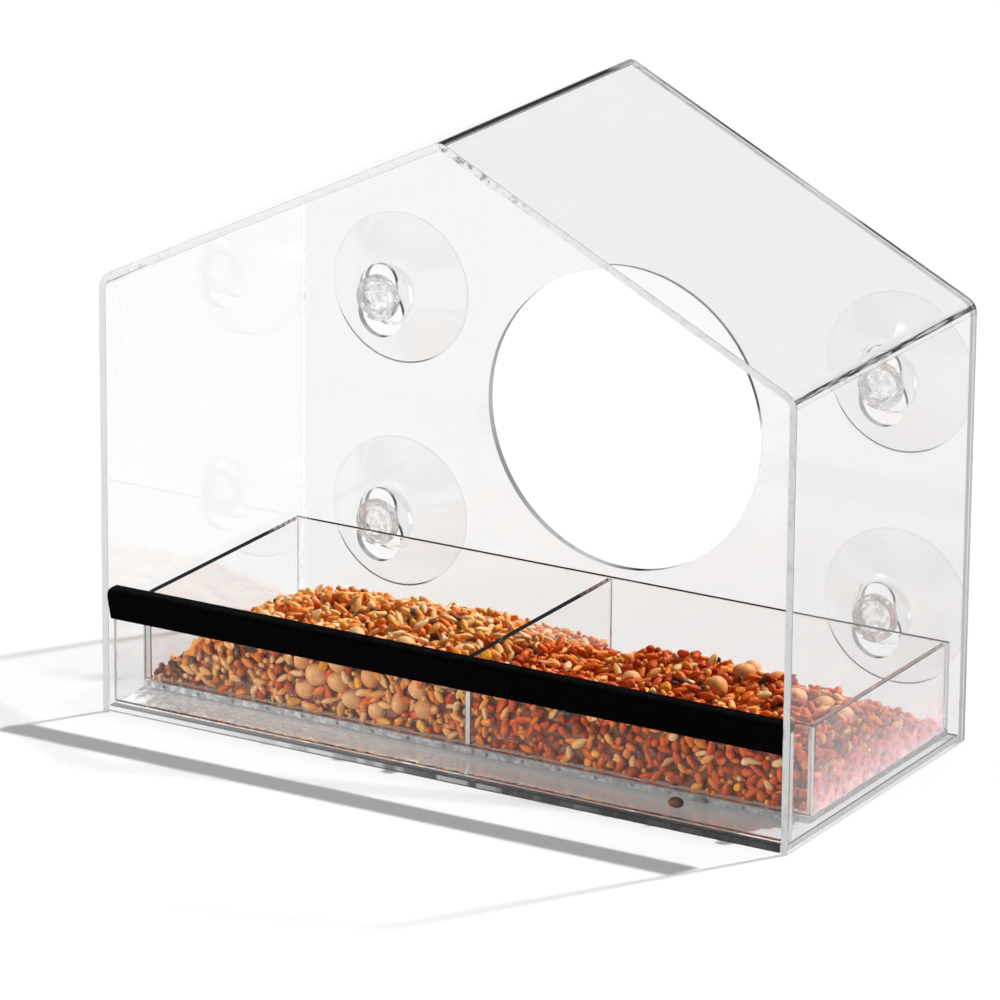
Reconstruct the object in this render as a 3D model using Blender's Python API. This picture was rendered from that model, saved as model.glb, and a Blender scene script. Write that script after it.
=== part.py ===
"""House-shaped bird feeder of clear acrylic that hangs on a window by four suction cups.

Metres, +Z up. +X runs to the right along the open front and +Y runs towards the window.
The origin is the middle of the housing's footprint, on the surface that it stands on.
"""
import math

import bmesh
import bpy
from mathutils import Matrix, noise

# Housing: one bent sheet makes the side walls and the roof, and flat panels close it
HOUSING_WIDTH = 0.300
HOUSING_DEPTH = 0.144
EAVE_HEIGHT = 0.1745
RIDGE_HEIGHT = 0.249
SHEET = 0.003
EAVE_INNER_RADIUS = 0.003
RIDGE_INNER_RADIUS = 0.0015
WELD_GAP = 0.0003
EDGE_EASE = 0.0003

# Round hole in the back panel that the birds are watched through
VIEW_HOLE_RADIUS = 0.0607
VIEW_HOLE_HEIGHT = 0.1043

# Low front wall and the rubber perch strip folded over its top edge
FRONT_WALL_SETBACK = 0.003
FRONT_WALL_HEIGHT = 0.0465
STRIP_DROP = 0.0090
STRIP_OVER = 0.0033
STRIP_FOOT = 0.0015
STRIP_NOSE = 0.0046
STRIP_NOSE_RADIUS = 0.0024
STRIP_EDGE_RADIUS = 0.0006

# Suction cups: four alike, each a single soft moulding
CUP_SIDE_INSET = 0.0395
CUP_LOWER_ROW_HEIGHT = 0.0507
CUP_ROW_SPACING = 0.093
CUP_REST_DROP = 0.0065
CUP_SEAT_GAP = 0.0003
CUP_RADIUS = 0.031
CUP_STANDOFF = 0.0143
CUP_LIP = 0.0008
CUP_RING_WIDTH = 0.002
CUP_CAVITY_DEPTH = 0.0078
CUP_BULGE = 0.0008
HEAD_OVERHANG = 0.0026
HEAD_THICKNESS = 0.0032
HEAD_EDGE_RADIUS = 0.0012
DIMPLE_RIM = 0.0038
DIMPLE_DEPTH = 0.0016
NECK_RADIUS = 0.0067
HUB_OVERHANG = 0.0053
HUB_THICKNESS = 0.0045
SOFT_EDGE_RADIUS = 0.0006

# Keyholes in the back panel: a slot that the neck slides in, over a round entry for the head
NECK_CLEARANCE = 0.0003
HEAD_CLEARANCE = 0.00085
ENTRY_DROP = 0.013

# Tray: six thin panels, pushed against the left wall
TRAY_SHEET = 0.0025
TRAY_HEIGHT = 0.038
TRAY_LEFT_GAP = 0.0003
TRAY_RIGHT_GAP = 0.003
TRAY_REST_GAP = 0.0003
TRAY_BACK_CLEARANCE = 0.0003
GUTTER_WIDTH = 0.019
DRAIN_RADIUS = 0.0015
DRAIN_PITCH = 0.0158
DRAIN_EDGE = 0.0045

# Heaps of seed: crest over the tray's floor, a thin layer where the heap runs out, and the low
# clumps that poured seed lies in
HEAP_CREST = 0.0317
HEAP_THIN = 0.0015
HEAP_GAP = 0.0003
CLUMP_HEIGHT = 0.0034
CLUMP_SPACING = 0.0115
CREASE_SHARE = 0.4

# The heap's height along a bay, left to right, then front to back: (place share, height share)
LEFT_WIDTH_SHARES = ((0.0, 0.04), (0.07, 0.36), (0.15, 0.68), (0.27, 0.89), (0.55, 0.97), (0.8, 1.0),
                     (1.0, 0.9))
LEFT_DEPTH_SHARES = ((0.0, 0.9), (0.22, 0.97), (0.45, 1.0), (0.7, 0.76), (0.88, 0.47), (1.0, 0.33))
RIGHT_WIDTH_SHARES = ((0.0, 0.88), (0.2, 0.82), (0.42, 0.99), (0.7, 1.0), (0.88, 0.93), (1.0, 0.86))
RIGHT_DEPTH_SHARES = ((0.0, 0.93), (0.25, 0.98), (0.45, 1.0), (0.68, 0.66), (0.86, 0.3), (1.0, 0.1))

# Facets
MERGE_DISTANCE = 0.00001
EASED_ANGLE = math.radians(60)
SMOOTH_ANGLE = math.radians(40)
BEND_STEPS = 6
EDGE_STEPS = 3
VIEW_HOLE_STEPS = 72
KEYHOLE_STEPS = 12
DRAIN_STEPS = 8
DRAIN_ROWS = 4
CUP_STEPS = 28
HEAP_COLUMNS = 32
HEAP_ROWS = 24

# Places worked out from the sizes above
SIDE = HOUSING_WIDTH / 2
FRONT = -HOUSING_DEPTH / 2
BACK = HOUSING_DEPTH / 2
ROOF_SLOPE = (RIDGE_HEIGHT - EAVE_HEIGHT) / SIDE
PANEL_SIDE = SIDE - SHEET - WELD_GAP
PANEL_FRONT = BACK - SHEET
FRONT_WALL_FRONT = FRONT + FRONT_WALL_SETBACK
FRONT_WALL_BACK = FRONT_WALL_FRONT + SHEET
HEAD_RADIUS = NECK_RADIUS + HEAD_OVERHANG
HUB_RADIUS = NECK_RADIUS + HUB_OVERHANG
DIMPLE_RADIUS = HEAD_RADIUS - DIMPLE_RIM
SLOT_RADIUS = NECK_RADIUS + NECK_CLEARANCE
ENTRY_RADIUS = HEAD_RADIUS + HEAD_CLEARANCE
TRAY_LEFT = -SIDE + SHEET + TRAY_LEFT_GAP
TRAY_RIGHT = SIDE - SHEET - TRAY_RIGHT_GAP
TRAY_FRONT = FRONT_WALL_BACK + GUTTER_WIDTH
TRAY_BACK = PANEL_FRONT - CUP_SEAT_GAP - HEAD_THICKNESS - TRAY_BACK_CLEARANCE
TRAY_BOTTOM = SHEET + TRAY_REST_GAP
TRAY_FLOOR_TOP = TRAY_BOTTOM + TRAY_SHEET
TRAY_RIM = TRAY_BOTTOM + TRAY_HEIGHT
TRAY_MIDDLE = (TRAY_LEFT + TRAY_RIGHT) / 2


def remove_objects():
    for obj in list(bpy.data.objects):
        bpy.data.objects.remove(obj)


def make_material(name, colour, roughness, alpha=1.0, transmission=0.0):
    material = bpy.data.materials.new(name)
    material.use_nodes = True
    shader = material.node_tree.nodes["Principled BSDF"]
    shader.inputs["Base Color"].default_value = (*colour, 1.0)
    shader.inputs["Roughness"].default_value = roughness
    shader.inputs["Metallic"].default_value = 0.0
    shader.inputs["Alpha"].default_value = alpha
    shader.inputs["Transmission Weight"].default_value = transmission
    material.diffuse_color = (*colour, alpha)
    return material


def add_object(name, bm, material, location=(0, 0, 0)):
    bmesh.ops.recalc_face_normals(bm, faces=bm.faces)
    mesh = bpy.data.meshes.new(name)
    bm.to_mesh(mesh)
    bm.free()
    mesh.materials.append(material)
    obj = bpy.data.objects.new(name, mesh)
    obj.location = location
    bpy.context.scene.collection.objects.link(obj)
    return obj


def shade_round(obj):
    obj.data.shade_smooth()
    obj.data.set_sharp_from_angle(angle=SMOOTH_ANGLE)


def ease_edges(obj):
    """Flame-polished sheet has slightly eased edges."""
    bevel = obj.modifiers.new("eased edges", "BEVEL")
    bevel.width = EDGE_EASE
    bevel.segments = 1
    bevel.limit_method = "ANGLE"
    bevel.angle_limit = EASED_ANGLE


def rounded_corner(before, corner, after, radius, steps):
    """Points of the arc that rounds one corner of an outline."""
    to_before = ((before[0] - corner[0]), (before[1] - corner[1]))
    to_after = ((after[0] - corner[0]), (after[1] - corner[1]))
    length_before = math.hypot(*to_before)
    length_after = math.hypot(*to_after)
    a = (to_before[0] / length_before, to_before[1] / length_before)
    b = (to_after[0] / length_after, to_after[1] / length_after)
    half_angle = math.acos(max(-1.0, min(1.0, a[0] * b[0] + a[1] * b[1]))) / 2
    radius = min(radius, min(length_before, length_after) / 2 * math.tan(half_angle))
    if radius <= 0:
        return [corner]
    tangent = radius / math.tan(half_angle)
    middle = (a[0] + b[0], a[1] + b[1])
    reach = radius / math.sin(half_angle) / math.hypot(*middle)
    centre = (corner[0] + middle[0] * reach, corner[1] + middle[1] * reach)
    start = (corner[0] + a[0] * tangent - centre[0], corner[1] + a[1] * tangent - centre[1])
    end = (corner[0] + b[0] * tangent - centre[0], corner[1] + b[1] * tangent - centre[1])
    turn = math.atan2(start[0] * end[1] - start[1] * end[0], start[0] * end[0] + start[1] * end[1])
    points = []
    for step in range(steps + 1):
        angle = turn * step / steps
        x = centre[0] + start[0] * math.cos(angle) - start[1] * math.sin(angle)
        y = centre[1] + start[0] * math.sin(angle) + start[1] * math.cos(angle)
        points.append((x, y))
    return points


def rounded_path(corners, radii, steps):
    """An open path whose inner corners are rounded."""
    points = [corners[0]]
    for index in range(1, len(corners) - 1):
        points += rounded_corner(corners[index - 1], corners[index], corners[index + 1], radii[index], steps)
    points.append(corners[-1])
    return points


def rounded_outline(corners, radii, steps):
    """A closed outline whose corners are rounded."""
    points = []
    for index, corner in enumerate(corners):
        after = corners[(index + 1) % len(corners)]
        points += rounded_corner(corners[index - 1], corner, after, radii[index], steps)
    return points


def circle(centre, radius, steps):
    points = []
    for step in range(steps):
        angle = 2 * math.pi * step / steps
        points.append((centre[0] + radius * math.cos(angle), centre[1] + radius * math.sin(angle)))
    return points


def add_loop(bm, points):
    vertices = [bm.verts.new(point) for point in points]
    for index, vertex in enumerate(vertices):
        bm.edges.new((vertex, vertices[(index + 1) % len(vertices)]))


def extruded_plate(name, loops, move, material):
    """A plate from one outline and the holes in it, thickened along move."""
    bm = bmesh.new()
    for loop in loops:
        add_loop(bm, loop)
    bmesh.ops.triangle_fill(bm, edges=bm.edges, use_beauty=True, use_dissolve=False)
    made = bmesh.ops.extrude_face_region(bm, geom=bm.faces[:])
    vertices = [item for item in made["geom"] if isinstance(item, bmesh.types.BMVert)]
    bmesh.ops.translate(bm, verts=vertices, vec=move)
    return add_object(name, bm, material)


def panel(name, low, high, material):
    """A flat rectangular panel between two corners, with eased edges."""
    bm = bmesh.new()
    bmesh.ops.create_cube(bm, size=1)
    size = [high[axis] - low[axis] for axis in range(3)]
    middle = [(high[axis] + low[axis]) / 2 for axis in range(3)]
    bmesh.ops.scale(bm, verts=bm.verts, vec=size)
    obj = add_object(name, bm, material, middle)
    ease_edges(obj)
    return obj


def sheet_line(inset):
    """The bent sheet's line in X and Z, at a depth under its outer face."""
    drop = inset * math.sqrt(1 + ROOF_SLOPE ** 2)
    eave = EAVE_HEIGHT + ROOF_SLOPE * inset - drop
    corners = [
        (-SIDE + inset, 0),
        (-SIDE + inset, eave),
        (0, RIDGE_HEIGHT - drop),
        (SIDE - inset, eave),
        (SIDE - inset, 0),
    ]
    eave_radius = max(0, EAVE_INNER_RADIUS + SHEET - inset)
    ridge_radius = max(0, RIDGE_INNER_RADIUS + SHEET - inset)
    return rounded_path(corners, (0, eave_radius, ridge_radius, eave_radius, 0), BEND_STEPS)


def build_housing_shell(material):
    """One sheet, bent warm over the two eaves and the ridge."""
    outer = sheet_line(0)
    inner = sheet_line(SHEET)
    bm = bmesh.new()
    outer_row = [bm.verts.new((x, FRONT, z)) for x, z in outer]
    inner_row = [bm.verts.new((x, FRONT, z)) for x, z in inner]
    for index in range(len(outer) - 1):
        bm.faces.new((outer_row[index], outer_row[index + 1], inner_row[index + 1], inner_row[index]))
    made = bmesh.ops.extrude_face_region(bm, geom=bm.faces[:])
    vertices = [item for item in made["geom"] if isinstance(item, bmesh.types.BMVert)]
    bmesh.ops.translate(bm, verts=vertices, vec=(0, HOUSING_DEPTH, 0))
    obj = add_object("housing_shell", bm, material)
    ease_edges(obj)


def keyhole_outline(column, row):
    """Slot with a round top over a round entry, about the slot's top centre."""
    meet = math.sqrt(ENTRY_RADIUS ** 2 - SLOT_RADIUS ** 2)
    start = math.atan2(meet, SLOT_RADIUS)
    points = []
    for step in range(KEYHOLE_STEPS + 1):
        angle = math.pi * step / KEYHOLE_STEPS
        points.append((column + SLOT_RADIUS * math.cos(angle), row + SLOT_RADIUS * math.sin(angle)))
    sweep = math.pi + 2 * start
    for step in range(2 * KEYHOLE_STEPS + 1):
        angle = math.pi - start + sweep * step / (2 * KEYHOLE_STEPS)
        x = column + ENTRY_RADIUS * math.cos(angle)
        z = row - ENTRY_DROP + ENTRY_RADIUS * math.sin(angle)
        points.append((x, z))
    return points


def cup_places():
    """Name, column and slot height of each cup, as seen from the front."""
    places = []
    for row_name, row in (("lower", CUP_LOWER_ROW_HEIGHT), ("upper", CUP_LOWER_ROW_HEIGHT + CUP_ROW_SPACING)):
        for side_name, side in (("left", -1), ("right", 1)):
            places.append((f"suction_cup_{row_name}_{side_name}", side * (SIDE - CUP_SIDE_INSET), row))
    return places


def build_back_panel(material):
    """Pentagon inside the bent sheet, cut for the viewing hole and the four keyholes."""
    loops = [sheet_line(SHEET + WELD_GAP)]
    loops.append(circle((0, VIEW_HOLE_HEIGHT), VIEW_HOLE_RADIUS, VIEW_HOLE_STEPS))
    loops += [keyhole_outline(column, row) for _, column, row in cup_places()]
    flat = [[(x, PANEL_FRONT, z) for x, z in loop] for loop in loops]
    extruded_plate("back_panel", flat, (0, SHEET, 0), material)


def build_floor_and_front(material):
    panel("floor_panel", (-PANEL_SIDE, FRONT, 0), (PANEL_SIDE, PANEL_FRONT - WELD_GAP, SHEET), material)
    low = (-PANEL_SIDE, FRONT_WALL_FRONT, SHEET + WELD_GAP)
    high = (PANEL_SIDE, FRONT_WALL_BACK, FRONT_WALL_HEIGHT)
    panel("front_wall", low, high, material)


def build_perch_strip(material):
    """Rubber grip folded over the front wall, wider at the nose that the birds hold."""
    inner = FRONT_WALL_FRONT - WELD_GAP
    under = FRONT_WALL_HEIGHT + WELD_GAP
    bottom = FRONT_WALL_HEIGHT - STRIP_DROP
    top = under + STRIP_OVER
    corners = [
        (inner, bottom),
        (inner - STRIP_FOOT, bottom),
        (inner - STRIP_NOSE, top),
        (FRONT_WALL_BACK, top),
        (FRONT_WALL_BACK, under),
        (inner, under),
    ]
    radii = (0, STRIP_EDGE_RADIUS, STRIP_NOSE_RADIUS, STRIP_EDGE_RADIUS, 0, 0)
    section = rounded_outline(corners, radii, EDGE_STEPS)
    loop = [(-PANEL_SIDE, y, z) for y, z in section]
    extruded_plate("perch_strip", [loop], (2 * PANEL_SIDE, 0, 0), material)


def cup_profile():
    """Half section of a cup: distance from its axis, and distance behind the back panel."""
    head_back = -SHEET - CUP_SEAT_GAP
    head_front = head_back - HEAD_THICKNESS
    hub_back = CUP_SEAT_GAP + HUB_THICKNESS
    rim_front = CUP_STANDOFF - CUP_LIP
    cavity = CUP_STANDOFF - CUP_CAVITY_DEPTH
    ring_inner = CUP_RADIUS - CUP_RING_WIDTH
    dish_radius = (HUB_RADIUS + CUP_RADIUS) / 2
    corners = [
        ((0, head_front + DIMPLE_DEPTH), 0),
        ((DIMPLE_RADIUS, head_front + DIMPLE_DEPTH), HEAD_EDGE_RADIUS),
        ((DIMPLE_RADIUS, head_front), SOFT_EDGE_RADIUS),
        ((HEAD_RADIUS, head_front), HEAD_EDGE_RADIUS),
        ((HEAD_RADIUS, head_back), SOFT_EDGE_RADIUS),
        ((NECK_RADIUS, head_back), 0),
        ((NECK_RADIUS, CUP_SEAT_GAP), 0),
        ((HUB_RADIUS, CUP_SEAT_GAP), SOFT_EDGE_RADIUS),
        ((HUB_RADIUS, hub_back), SOFT_EDGE_RADIUS),
        ((dish_radius, (hub_back + rim_front) / 2 - CUP_BULGE), 0),
        ((CUP_RADIUS, rim_front), 0),
        ((CUP_RADIUS, CUP_STANDOFF), 0),
        ((ring_inner, CUP_STANDOFF), 0),
        ((dish_radius, (cavity + CUP_STANDOFF) / 2 - CUP_BULGE), 0),
        ((HUB_RADIUS, cavity), 0),
        ((0, cavity), 0),
    ]
    return rounded_path([place for place, _ in corners], [radius for _, radius in corners], EDGE_STEPS)


def cup_mesh():
    """Turned about +Y, with the neck's centre in the slot at the origin."""
    bm = bmesh.new()
    vertices = [bm.verts.new((radius, along, 0)) for radius, along in cup_profile()]
    edges = [bm.edges.new(pair) for pair in zip(vertices, vertices[1:])]
    bmesh.ops.spin(
        bm,
        geom=vertices + edges,
        cent=(0, 0, 0),
        axis=(0, 1, 0),
        angle=2 * math.pi,
        steps=CUP_STEPS,
        use_merge=True,
    )
    bmesh.ops.remove_doubles(bm, verts=bm.verts, dist=MERGE_DISTANCE)
    return bm


def build_suction_cups(material):
    for name, column, row in cup_places():
        shade_round(add_object(name, cup_mesh(), material, (column, BACK, row - CUP_REST_DROP)))


def drain_places():
    """Centres of the small holes in the tray's floor: rows across each bay."""
    bay = (TRAY_RIGHT - TRAY_LEFT - 3 * TRAY_SHEET) / 2
    first_row = TRAY_FRONT + TRAY_SHEET + DRAIN_EDGE
    last_row = TRAY_BACK - TRAY_SHEET - DRAIN_EDGE
    count = int((bay - 2 * DRAIN_EDGE) / DRAIN_PITCH)
    places = []
    for side in (-1, 1):
        middle = TRAY_MIDDLE + side * (TRAY_SHEET + bay) / 2
        for row in range(DRAIN_ROWS):
            y = first_row + (last_row - first_row) * row / (DRAIN_ROWS - 1)
            for column in range(count + 1):
                places.append((middle + (column - count / 2) * DRAIN_PITCH, y))
    return places


def build_tray_floor(material):
    front_edge = [(TRAY_LEFT, TRAY_FRONT), (TRAY_RIGHT, TRAY_FRONT)]
    back_edge = [(TRAY_RIGHT, TRAY_BACK), (TRAY_LEFT, TRAY_BACK)]
    loops = [front_edge + back_edge] + [circle(place, DRAIN_RADIUS, DRAIN_STEPS) for place in drain_places()]
    flat = [[(x, y, TRAY_BOTTOM) for x, y in loop] for loop in loops]
    return extruded_plate("tray_floor", flat, (0, 0, TRAY_SHEET), material)


def build_tray(material):
    """Four walls and a divider welded on the floor, moved together by one empty."""
    low = TRAY_FLOOR_TOP + WELD_GAP
    front_inside = TRAY_FRONT + TRAY_SHEET
    back_inside = TRAY_BACK - TRAY_SHEET
    side_front = front_inside + WELD_GAP
    side_back = back_inside - WELD_GAP
    half = TRAY_SHEET / 2
    walls = {
        "tray_front_wall": (TRAY_LEFT, TRAY_RIGHT, TRAY_FRONT, front_inside),
        "tray_back_wall": (TRAY_LEFT, TRAY_RIGHT, back_inside, TRAY_BACK),
        "tray_left_wall": (TRAY_LEFT, TRAY_LEFT + TRAY_SHEET, side_front, side_back),
        "tray_right_wall": (TRAY_RIGHT - TRAY_SHEET, TRAY_RIGHT, side_front, side_back),
        "tray_divider": (TRAY_MIDDLE - half, TRAY_MIDDLE + half, side_front, side_back),
    }
    pieces = [build_tray_floor(material)]
    for name, (left, right, front, back) in walls.items():
        pieces.append(panel(name, (left, front, low), (right, back, TRAY_RIM), material))
    return pieces


def smooth_value(shares, place):
    """Height share at a place share, eased between the points of a table."""
    for (start, low), (end, high) in zip(shares, shares[1:]):
        if place <= end:
            ease = (1 - math.cos(math.pi * (place - start) / (end - start))) / 2
            return low + (high - low) * (ease + (place - start) / (end - start)) / 2
    return shares[-1][1]


def clump_drop(x, y):
    """How far poured seed sinks in the creases between its clumps, which lie in no order."""
    distances, _ = noise.voronoi((x / CLUMP_SPACING, y / CLUMP_SPACING, 0))
    from_crease = min(1.0, (distances[1] - distances[0]) / CREASE_SHARE)
    return CLUMP_HEIGHT * (1.0 - from_crease)


def build_seed_heap(name, bay, width_shares, depth_shares, material):
    """Seed poured into one bay, lying against its walls."""
    front = TRAY_FRONT + TRAY_SHEET + HEAP_GAP
    back = TRAY_BACK - TRAY_SHEET - HEAP_GAP
    bottom = TRAY_FLOOR_TOP + HEAP_GAP
    left = bay[0] + HEAP_GAP
    right = bay[1] - HEAP_GAP
    bm = bmesh.new()
    bmesh.ops.create_grid(bm, x_segments=HEAP_COLUMNS, y_segments=HEAP_ROWS, size=1)
    for vertex in bm.verts:
        across = (vertex.co.x + 1) / 2
        along = (vertex.co.y + 1) / 2
        rise = HEAP_CREST * smooth_value(width_shares, across) * smooth_value(depth_shares, along)
        vertex.co.x = left + (right - left) * across
        vertex.co.y = front + (back - front) * along
        rise -= clump_drop(vertex.co.x, vertex.co.y)
        vertex.co.z = bottom + max(HEAP_THIN, rise)
    made = bmesh.ops.extrude_face_region(bm, geom=bm.faces[:])
    for item in made["geom"]:
        if isinstance(item, bmesh.types.BMVert):
            item.co.z = bottom
    under = [item for item in made["geom"] if isinstance(item, bmesh.types.BMFace)]
    bmesh.ops.dissolve_faces(bm, faces=under)
    heap = add_object(name, bm, material)
    shade_round(heap)
    return heap


def build_seed_heaps(material):
    half = TRAY_SHEET / 2
    left_bay = (TRAY_LEFT + TRAY_SHEET, TRAY_MIDDLE - half)
    right_bay = (TRAY_MIDDLE + half, TRAY_RIGHT - TRAY_SHEET)
    return [
        build_seed_heap("seed_heap_left", left_bay, LEFT_WIDTH_SHARES, LEFT_DEPTH_SHARES, material),
        build_seed_heap("seed_heap_right", right_bay, RIGHT_WIDTH_SHARES, RIGHT_DEPTH_SHARES, material),
    ]


def carry(pieces):
    """The tray and its seed move with one empty, on the line that the tray is lifted along."""
    carrier = bpy.data.objects.new("tray_carrier", None)
    carrier.location = (TRAY_MIDDLE, (TRAY_FRONT + TRAY_BACK) / 2, TRAY_BOTTOM)
    bpy.context.scene.collection.objects.link(carrier)
    for piece in pieces:
        piece.parent = carrier
        piece.matrix_parent_inverse = Matrix.Translation(carrier.location).inverted()


def main():
    remove_objects()
    acrylic = make_material("clear acrylic", (0.95, 0.97, 0.97), 0.02, alpha=0.3, transmission=1.0)
    tray_acrylic = make_material("clear tray acrylic", (0.93, 0.96, 0.96), 0.03, alpha=0.3, transmission=1.0)
    soft_clear = make_material("clear soft plastic", (0.94, 0.95, 0.95), 0.12, alpha=0.4, transmission=0.9)
    rubber = make_material("black rubber", (0.008, 0.007, 0.008), 0.6)
    seed = make_material("mixed seed", (0.52, 0.2, 0.06), 0.55)
    build_housing_shell(acrylic)
    build_back_panel(acrylic)
    build_floor_and_front(acrylic)
    build_perch_strip(rubber)
    build_suction_cups(soft_clear)
    carry(build_tray(tray_acrylic) + build_seed_heaps(seed))


main()
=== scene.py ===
# %% [markdown]
# # Dressing a clear window feeder
# The feeder is a little house of clear acrylic sheet with a tray of seed inside, so two things
# carry its looks: how bare sheet bends and darkens at its edges, and how loose seed lies against
# a clear wall. The solids that the feeder moves and stands on are already made. This script
# loads them as a fixed frame and builds every finish and every fine surface around them.

# %% Load the frame
import itertools
import math
import random

import bmesh
import bpy
import numpy as np
from mathutils import Matrix, Vector
from mathutils.bvhtree import BVHTree


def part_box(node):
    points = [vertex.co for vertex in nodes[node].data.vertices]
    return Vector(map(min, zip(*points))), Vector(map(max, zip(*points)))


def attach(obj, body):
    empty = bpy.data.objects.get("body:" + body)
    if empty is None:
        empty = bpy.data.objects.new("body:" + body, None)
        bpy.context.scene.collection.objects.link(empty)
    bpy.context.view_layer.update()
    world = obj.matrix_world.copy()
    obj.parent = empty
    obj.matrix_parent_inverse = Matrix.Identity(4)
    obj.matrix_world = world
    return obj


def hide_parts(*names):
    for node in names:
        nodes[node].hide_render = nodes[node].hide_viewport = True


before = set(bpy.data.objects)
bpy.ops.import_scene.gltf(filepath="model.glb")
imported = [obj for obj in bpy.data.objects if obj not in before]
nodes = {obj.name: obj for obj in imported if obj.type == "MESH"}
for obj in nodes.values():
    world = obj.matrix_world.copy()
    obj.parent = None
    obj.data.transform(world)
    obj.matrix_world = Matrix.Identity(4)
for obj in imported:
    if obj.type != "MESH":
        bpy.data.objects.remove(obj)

scene = bpy.context.scene
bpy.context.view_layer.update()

# %% [markdown]
# ## Where the picture is taken from
# A long lens far away keeps the walls of the house nearly parallel. A short lens close by would
# fill the frame as well, but it would splay the walls. The camera stands to the right of the
# open front and looks a little down, so that roof, walls and tray all show.

# %% Camera
CAMERA_PLACE = (1.2802, -2.2252, 0.9320)
CAMERA_TILT = math.radians(71.86)
CAMERA_ROLL = math.radians(-0.434)
CAMERA_TURN = math.radians(30.344)
LENS_MM = 255.3
FAR_CLIP = 50

camera_data = bpy.data.cameras.new("camera")
camera_data.lens = LENS_MM
camera_data.clip_end = FAR_CLIP
camera = bpy.data.objects.new("camera", camera_data)
camera.location = CAMERA_PLACE
camera.rotation_euler = (CAMERA_TILT, CAMERA_ROLL, CAMERA_TURN)
scene.collection.objects.link(camera)
scene.camera = camera
scene.view_settings.view_transform = "Standard"
print("camera at", CAMERA_PLACE, "with a lens of", LENS_MM, "mm")

# %% [markdown]
# ## Small helpers for node trees
# Every finish here is a node tree, and the same few steps come back in each one: a sum, a ramp,
# a noise, a mix. Written once as short helpers, they keep the later cells about the finish itself
# and not about wiring.

# %% Node helpers
def give(tree, socket, value):
    """Links a socket to another one, or sets its value."""
    if isinstance(value, bpy.types.NodeSocket):
        tree.links.new(value, socket)
    else:
        socket.default_value = value


def add_node(tree, kind, settings=None, **inputs):
    """A node with its settings and with values or links on its inputs."""
    node = tree.nodes.new(kind)
    for name, value in (settings or {}).items():
        setattr(node, name, value)
    for name, value in inputs.items():
        give(tree, node.inputs[name.replace("_", " ")], value)
    return node


def start_material(name):
    """A material with an empty tree, its tree and its output node."""
    material = bpy.data.materials.new(name)
    material.use_nodes = True
    tree = material.node_tree
    tree.nodes.clear()
    return material, tree, add_node(tree, "ShaderNodeOutputMaterial")


def show(tree, output, shader):
    """Gives a shader to the surface of the output."""
    tree.links.new(shader.outputs[0], output.inputs["Surface"])


def grey(tone):
    """A neutral colour."""
    return (tone, tone, tone, 1)


def principled(tree, **inputs):
    """The main shader, with values or links on its inputs."""
    return add_node(tree, "ShaderNodeBsdfPrincipled", **inputs)


# %% Sums and ramps
def math_node(tree, operation, first, second=0.0):
    """The result of one sum."""
    node = add_node(tree, "ShaderNodeMath", {"operation": operation})
    give(tree, node.inputs[0], first)
    give(tree, node.inputs[1], second)
    return node.outputs[0]


def map_range(tree, value, start, end, low=0.0, high=1.0, eased=False):
    """Spreads start to end over low to high, and holds the ends."""
    kind = "SMOOTHSTEP" if eased else "LINEAR"
    node = add_node(tree, "ShaderNodeMapRange", {"interpolation_type": kind}, Value=value)
    for socket, number in (("From Min", start), ("From Max", end), ("To Min", low), ("To Max", high)):
        give(tree, node.inputs[socket], number)
    return node.outputs[0]


def mix(tree, factor, first, second, kind="RGBA", blend="MIX"):
    """The first colour or value where the factor is 0, and the second, blended with it, where it is 1."""
    node = add_node(tree, "ShaderNodeMix", {"data_type": kind, "blend_type": blend})
    slots, result = ((0, 6, 7), 2) if kind == "RGBA" else ((0, 2, 3), 0)
    for slot, value in zip(slots, (factor, first, second)):
        give(tree, node.inputs[slot], value)
    return node.outputs[result]


def mix_shaders(tree, factor, first, second):
    """The first shader where the factor is 0 and the second where it is 1."""
    node = add_node(tree, "ShaderNodeMixShader", Fac=factor)
    tree.links.new(first.outputs[0], node.inputs[1])
    tree.links.new(second.outputs[0], node.inputs[2])
    return node


def tone_ramp(tree, value, stops):
    """A ramp of greys or colours with an opacity: (place, colour, opacity) stops."""
    ramp = add_node(tree, "ShaderNodeValToRGB", Fac=value)
    marks = ramp.color_ramp.elements
    while len(marks) < len(stops):
        marks.new(0.5)
    for mark, (place, colour, opacity) in zip(marks, stops):
        mark.position = place
        mark.color = (*(colour if isinstance(colour, tuple) else (colour,) * 3), opacity)
    return ramp.outputs


# %% Places, noises and stored values
def split(tree, vector):
    """The X, Y and Z outputs of a vector."""
    return add_node(tree, "ShaderNodeSeparateXYZ", Vector=vector).outputs


def object_place(tree):
    """The place on the object."""
    return add_node(tree, "ShaderNodeTexCoord").outputs["Object"]


def place_on_object(tree):
    """The place on the object, and its X, Y and Z outputs."""
    place = object_place(tree)
    return place, split(tree, place)


def noise(tree, place, scale, detail, **inputs):
    """The value of a noise texture."""
    node = add_node(tree, "ShaderNodeTexNoise", Vector=place, Scale=scale, Detail=detail, **inputs)
    return node.outputs["Fac"]


def bump_normal(tree, height, strength, distance, sunk=False):
    """A normal that leans with a height. With sunk, high values lie deep."""
    settings = {"invert": sunk}
    bump = add_node(tree, "ShaderNodeBump", settings, Height=height, Strength=strength, Distance=distance)
    return bump.outputs[0]


def stored(tree, name):
    """A value that the mesh stores under a name."""
    return add_node(tree, "ShaderNodeAttribute", {"attribute_name": name}).outputs["Fac"]


def on_part(tree, number):
    """1 on the faces that the mesh counts to one part of its surface, and 0 elsewhere."""
    return math_node(tree, "COMPARE", stored(tree, "part"), float(number))


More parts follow.
